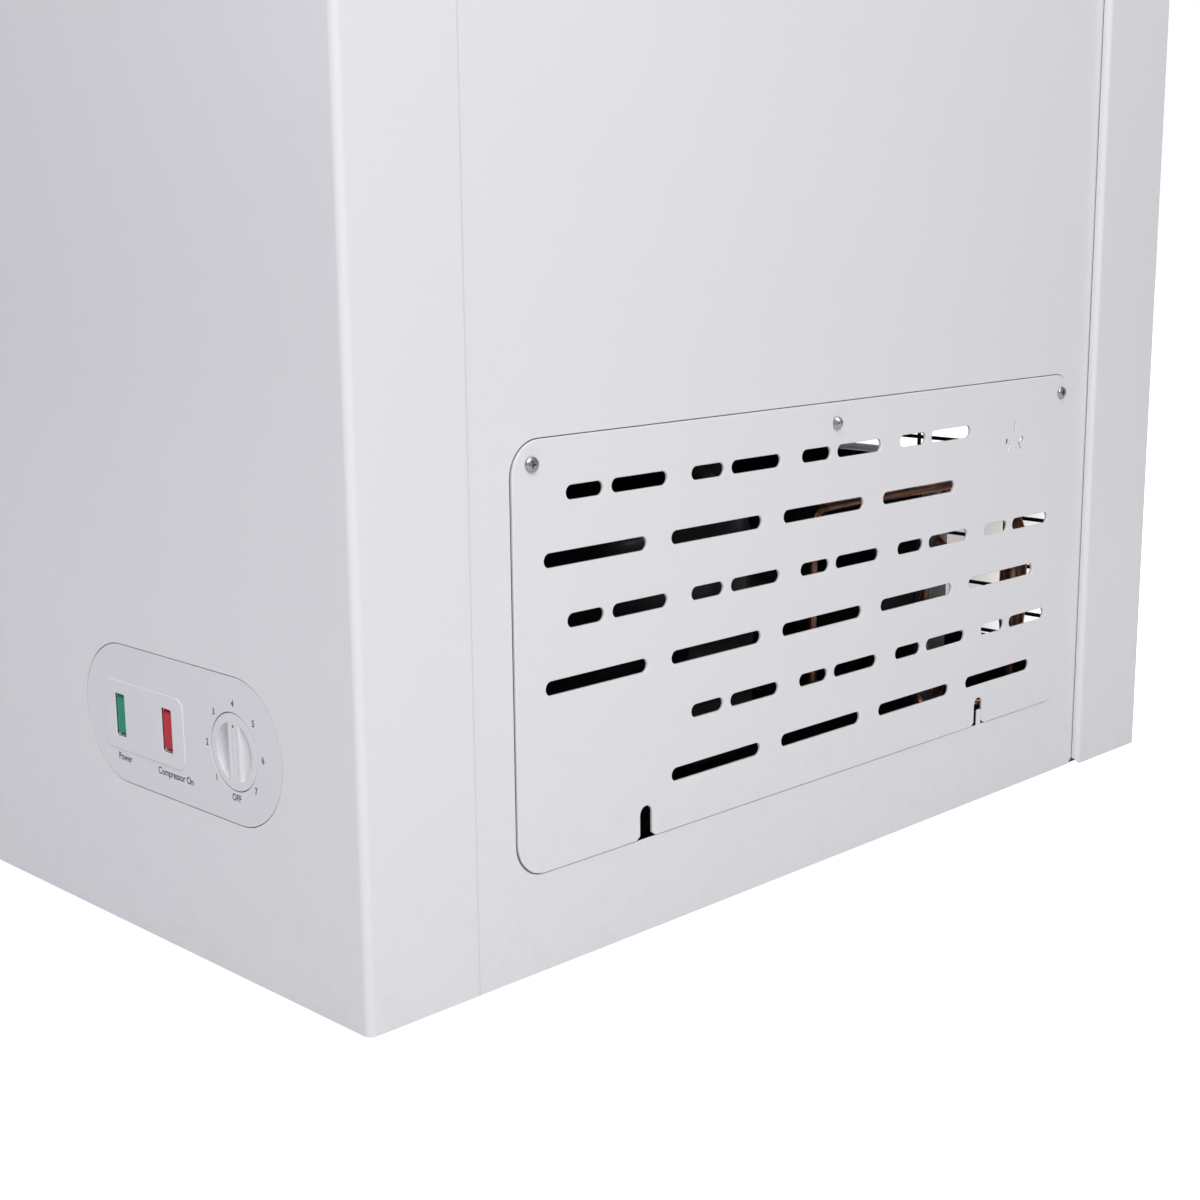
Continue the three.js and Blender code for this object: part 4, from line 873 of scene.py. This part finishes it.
# ---- rear guard --------------------------------------------------------------------------------
# Steel wires across the opening in the rear skin. Wires and tubes are drawn as lines and given
# their round section by nodes.
def tubes(name, paths, radius, bend, material, sides=12, closed=False):
    """Round wire along each path, in millimetres, with its corners bent to a radius."""
    inputs = {"Wire Radius": "Float", "Bend Radius": "Float", "Sides": "Int", "Finish": "Material"}
    tree, names, entry = node_tool(name, inputs)
    line = node(tree, "GeometryNodeMeshToCurve", {"Mesh": entry["Geometry"]})
    eased = node(
        tree, "GeometryNodeFilletCurve", {"Curve": line.outputs[0], "Radius": entry["Bend Radius"]}
    )
    if "Mode" in eased.inputs:
        eased.inputs["Mode"].default_value = "Poly"
    else:
        eased.mode = "POLY"
    eased.inputs["Count"].default_value = 6
    eased.inputs["Limit Radius"].default_value = True
    section = node(
        tree,
        "GeometryNodeCurvePrimitiveCircle",
        {"Resolution": entry["Sides"], "Radius": entry["Wire Radius"]},
    )
    swept = node(
        tree,
        "GeometryNodeCurveToMesh",
        {"Curve": eased.outputs[0], "Profile Curve": section.outputs[0], "Fill Caps": True},
    )
    tool_result(tree, swept.outputs[0], entry["Finish"])
    points, edges = [], []
    for path in paths:
        first = len(points)
        points += [tuple(Vector(p) * 0.001) for p in path]
        edges += [(first + i, first + i + 1) for i in range(len(path) - 1)]
        if closed:
            edges.append((len(points) - 1, first))
    mesh = bpy.data.meshes.new(name)
    mesh.from_pydata(points, edges, [])
    holder = linked(name, mesh)
    sweeping = holder.modifiers.new("sweeping", "NODES")
    sweeping.node_group = tree
    sweeping[names["Wire Radius"]] = radius * 0.001
    sweeping[names["Bend Radius"]] = bend * 0.001
    sweeping[names["Sides"]] = sides
    sweeping[names["Finish"]] = material
    return piece(name, used_up(holder), material, 0, 50)


low, high = (end * 1000 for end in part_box("rear_guard"))
guard_y = (low.y + high.y) / 2
guard_paths = []
levels = [low.z + 2 + (high.z - low.z - 4) * i / 12 for i in range(13)]
for level in levels:
    guard_paths.append([(low.x + 1, guard_y - 1, level), (high.x - 1, guard_y - 1, level)])
for share in (0.02, 0.34, 0.66, 0.98):
    x = low.x + (high.x - low.x) * share
    guard_paths.append([(x, guard_y + 1, low.z + 1), (x, guard_y + 1, high.z - 1)])
guard = tubes("rear guard", guard_paths, 1.5, 0, black_enamel)
belongs(guard, "cabinet", "black_enamel", "rear_guard")


# ---- compressor --------------------------------------------------------------------------------
# A welded steel shell with a seam round its middle, on rubber grommets, with its relay and pipes.
bowl = [math.radians(a) for a in range(9, 99, 9)]
dome = [math.radians(a) for a in range(0, 90, 9)]
shell_profile = [(0, 46)] + [(80 * math.sin(a), 86 - 40 * math.cos(a)) for a in bowl]
shell_profile += [(80, 140), (80.6, 143), (82, 144.5), (82, 149), (80.6, 150.5), (79.2, 152)]
shell_profile += [(79.2 * math.cos(a), 196 + 60 * math.sin(a)) for a in dome] + [(0, 256)]
shell_mesh = lathe("compressor shell", shell_profile, (412, -22))
shell = piece("compressor shell", shell_mesh, black_enamel, 0, 30)
belongs(shell, "cabinet", "black_enamel", "compressor_shell")
refined("compressor feet", "compressor_feet", "cabinet", black_enamel, "black_enamel", 0.0006)
black_rubber = finish(
    "black rubber",
    moulding,
    {"Tint": (0.025, 0.025, 0.025, 1), "Gloss": 0.7, "Grain": 0.00005, "Dust": 0.4, "Wear": 0.2},
    {"IOR": 1.5},
)
for index in range(1, 5):
    grommet = f"compressor_grommet_{index}"
    refined(f"grommet {index}", grommet, "cabinet", black_rubber, "black_rubber", 0.001, 40, 3)
for cover in ("relay_cover", "terminal_box"):
    name = cover.replace("_", " ")
    refined(name, cover, "cabinet", black_plastic, "black_plastic", 0.0015, 40, 3)

copper = finish(
    "copper",
    bare_metal,
    {"Metal": (0.80, 0.42, 0.27, 1), "Stain": (0.26, 0.12, 0.07, 1), "Stained": 0.6, "Gloss": 0.26,
     "Patches": 60.0, "Patchy": 0.12, "Relief": 0.000002},
    {"Metallic": 1.0},
)


def drawn_tube(node_name):
    """A CAD pipe's counterpart, rounded by subdivision."""
    name = node_name.replace("_", " ")
    made = bmesh.new()
    made.from_mesh(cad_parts[node_name].data)
    bmesh.ops.remove_doubles(made, verts=made.verts, dist=2e-6)
    bmesh.ops.join_triangles(
        made, faces=made.faces, angle_face_threshold=0.35, angle_shape_threshold=1.2
    )
    obj = linked(name, from_bmesh(name, made, millimetres=False))
    rounding = obj.modifiers.new("rounding", "SUBSURF")
    rounding.levels = rounding.render_levels = 2
    belongs(piece(name, used_up(obj), copper, 0, 60), "cabinet", "copper", node_name)


for node_name in (
    "suction_pipe",
    "discharge_pipe",
    "filter_drier",
    "liquid_pipe",
    "capillary_tube",
    "sensing_tube",
    "evaporator_coil",
):
    drawn_tube(node_name)


# ---- condenser and fan -------------------------------------------------------------------------
# A block of thin fins on two banks of tube that turn back at each end, drawn through by a fan in a
# pressed shroud.
fin_aluminium = finish(
    "fin aluminium",
    bare_metal,
    {"Metal": (0.70, 0.72, 0.74, 1), "Stain": (0.42, 0.38, 0.33, 1), "Stained": 0.4, "Gloss": 0.32,
     "Patches": 90.0, "Patchy": 0.1, "Relief": 0.000002},
    {"Metallic": 1.0},
)
fin = bmesh.new()
bmesh.ops.create_cube(fin, size=1.0)
bmesh.ops.scale(fin, vec=(0.25, 43, 203), verts=fin.verts)
fin_mesh = from_bmesh("fin", fin)
fin_points = [(314 + 2.2 * i, 222.5, 131.5) for i in range(69)]
fin_turns = [(0, 0, 0)] * len(fin_points)
fins = instanced("condenser fins", fin_mesh, fin_points, fin_turns, fin_aluminium)
belongs(fins, "cabinet", "fin_aluminium", "condenser_block")
end_outline = rounded(200.3, 244.7, 28.3, 234.7, 2, 3)
end_plates = [plate("end plate", [end_outline], (x, x + 1.2), 0.2, FACING_X) for x in (311, 467)]
ends = piece("condenser ends", merged("condenser ends", end_plates), galvanised)
belongs(ends, "cabinet", "fin_aluminium")
bank_paths = []
for y, shift in ((211.5, 0), (233.5, 1)):
    snake = []
    for run in range(9):
        z = 40 + 22 * run
        near, far = (474, 304) if (run + shift) % 2 else (304, 474)
        snake += [(near, y, z), (far, y, z)]
    bank_paths.append(snake)
banks = tubes("condenser tubes", bank_paths, 3.6, 9, copper, 16)
belongs(banks, "cabinet", "fin_aluminium")
refined("fan shroud", "fan_shroud", "cabinet", black_enamel, "black_enamel", 0.0005)
refined("fan motor", "fan_motor", "cabinet", black_plastic, "black_plastic", 0.0008, 40)
refined("fan blades", "fan_blades", "fan", black_plastic, "black_plastic", 0.0003, 40)


# ---- tub, rim and basket -----------------------------------------------------------------------
# An embossed aluminium tub under a moulded rim, with a coated wire basket hung on the rim's ledge
# and a plug in the drain.
tub_aluminium = finish(
    "embossed aluminium",
    bare_metal,
    {"Metal": (0.76, 0.77, 0.78, 1), "Stain": (0.60, 0.60, 0.60, 1), "Stained": 0.3, "Gloss": 0.30,
     "Patches": 110.0, "Patchy": 0.10, "Relief": 0.000004},
    {"Metallic": 1.0},
)
emboss_tree = tub_aluminium.node_tree
cells = node(
    emboss_tree,
    "ShaderNodeTexVoronoi",
    {"Vector": place(emboss_tree), "Scale": 260.0},
    feature="SMOOTH_F1",
)
embossed = bump(emboss_tree, cells.outputs["Distance"], 0.0006, 0.7)
emboss_tree.links.new(embossed, emboss_tree.nodes["Principled BSDF"].inputs["Normal"])
refined("tub", "inner_tub", "cabinet", tub_aluminium, "tub_aluminium", 0.0005)

white_plastic = finish(
    "white plastic",
    moulding,
    {"Tint": (0.76, 0.76, 0.77, 1), "Gloss": 0.38, "Grain": 0.00002, "Dust": 0.2, "Wear": 0.35},
    {"IOR": 1.49},
)
grey_rubber = finish(
    "grey rubber",
    moulding,
    {"Tint": (0.36, 0.37, 0.39, 1), "Gloss": 0.65, "Grain": 0.00004, "Dust": 0.3, "Wear": 0.2},
    {"IOR": 1.5},
)
refined("rim", "top_rim", "cabinet", white_plastic, "white_plastic", 0.0009, 38, 3)
refined("drain tube", "drain_tube", "cabinet", white_plastic, "white_plastic", 0.0004)
refined("control box", "control_box", "cabinet", white_plastic, "white_plastic", 0.0006)
refined("drain plug", "drain_plug", "drain_plug", grey_rubber, "grey_rubber", 0.0008, 30)

basket_wire = finish(
    "coated wire",
    paint,
    {"Paint": (0.82, 0.82, 0.83, 1), "Gloss": 0.33, "Peel": 0.00004, "Grime": 0.0, "Rubs": 0.6},
    {"IOR": 1.5, "Coat Weight": 0.2},
)
low, high = (end * 1000 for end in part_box("basket"))
left, right, tray_y, tray_top = low.x + 2, high.x - 2, 266, 772
uprights = []
for i in range(11):
    x, foot = left + 24 + (right - left - 48) * i / 10, 567
    front = [(x, -tray_y, tray_top), (x, -tray_y, foot)]
    uprights.append(front + [(x, tray_y, foot), (x, tray_y, tray_top)])
for i in range(19):
    y, foot = -240 + 480 * i / 18, 569
    uprights.append([(left, y, tray_top), (left, y, foot), (right, y, foot), (right, y, tray_top)])
wires = tubes("basket wires", uprights, 1.3, 14, basket_wire, 10)
belongs(wires, "basket", "basket_wire", "basket")


def hoop(level, inset):
    loop = rounded(left + inset, right - inset, -tray_y + inset, tray_y - inset, 23, 8)
    return [(x, y, level) for x, y in loop]


hoop_paths = [hoop(582, 2)] + [hoop(level, 0) for level in (620, 665, 710, 745)]
hoops = tubes("basket hoops", hoop_paths, 1.3, 0, basket_wire, 10, True)
belongs(hoops, "basket", "basket_wire")
brim = tubes("basket brim", [hoop(770, 0)], 2.6, 0, basket_wire, 14, True)
belongs(brim, "basket", "basket_wire")
hook_paths = []
for x in (264, 424):
    for side in (-1, 1):
        half = [(267, 720), (267, 774.4), (281, 774.4)]
        hook_paths.append([(x - 10, side * y, z) for y, z in half])
        hook_paths[-1] += [(x + 10, side * y, z) for y, z in half[::-1]]
hooks = tubes("basket hooks", hook_paths, 2.0, 5, basket_wire, 14)
belongs(hooks, "basket", "basket_wire")


# ---- lid ---------------------------------------------------------------------------------------
# A pressed skin with rounded upper edges over foam, an inner liner with a soft seal, a moulded pull
# with its lock, and two hinges behind.
def nested(name, inset_levels):
    """A closed skin through rounded rectangles: (inset, level) from the inner cap to the outer."""
    rows = []
    for inset, level in inset_levels:
        radius = max(12 - inset, 1.0)
        loop = rounded(-564 + inset, 564 - inset, -350 + inset, 350 - inset, radius, 8)
        rows.append([(x, y, level) for x, y in loop])
    return loft(name, rows)


inner_side = [(1.2 + u, v) for u, v in arc(2.8, 846, 2.8, 90, 180, 6)]
outer_side = arc(4, 846, 4, 180, 90, 8)
lid_section = inner_side + [(1.2, 797.3), (0.9, 797), (0.3, 797), (0, 797.3)] + outer_side
lid_skin = piece("lid skin", nested("lid skin", lid_section), white_enamel, 0, 50)
belongs(lid_skin, "lid", "white_enamel", "lid_shell")
refined("lid liner", "lid_liner", "lid", white_plastic, "white_plastic", 0.0008)
refined("lid seal", "lid_gasket", "lid", grey_rubber, "grey_rubber", 0.0012, 38, 3)
refined("lid pull", "lid_handle", "lid", white_plastic, "white_plastic", 0.0011, 38, 3)
refined("lock barrel", "lock_barrel", "lock", zinc, "zinc_plate", 0.0003)
refined("lock keeper", "lock_keeper", "cabinet", zinc, "zinc_plate", 0.0003)
for side in ("left", "right"):
    refined(f"hinge base {side}", f"hinge_base_{side}", "cabinet", zinc, "zinc_plate", 0.0004)
    refined(f"hinge leaf {side}", f"hinge_leaf_{side}", "lid", zinc, "zinc_plate", 0.0004)
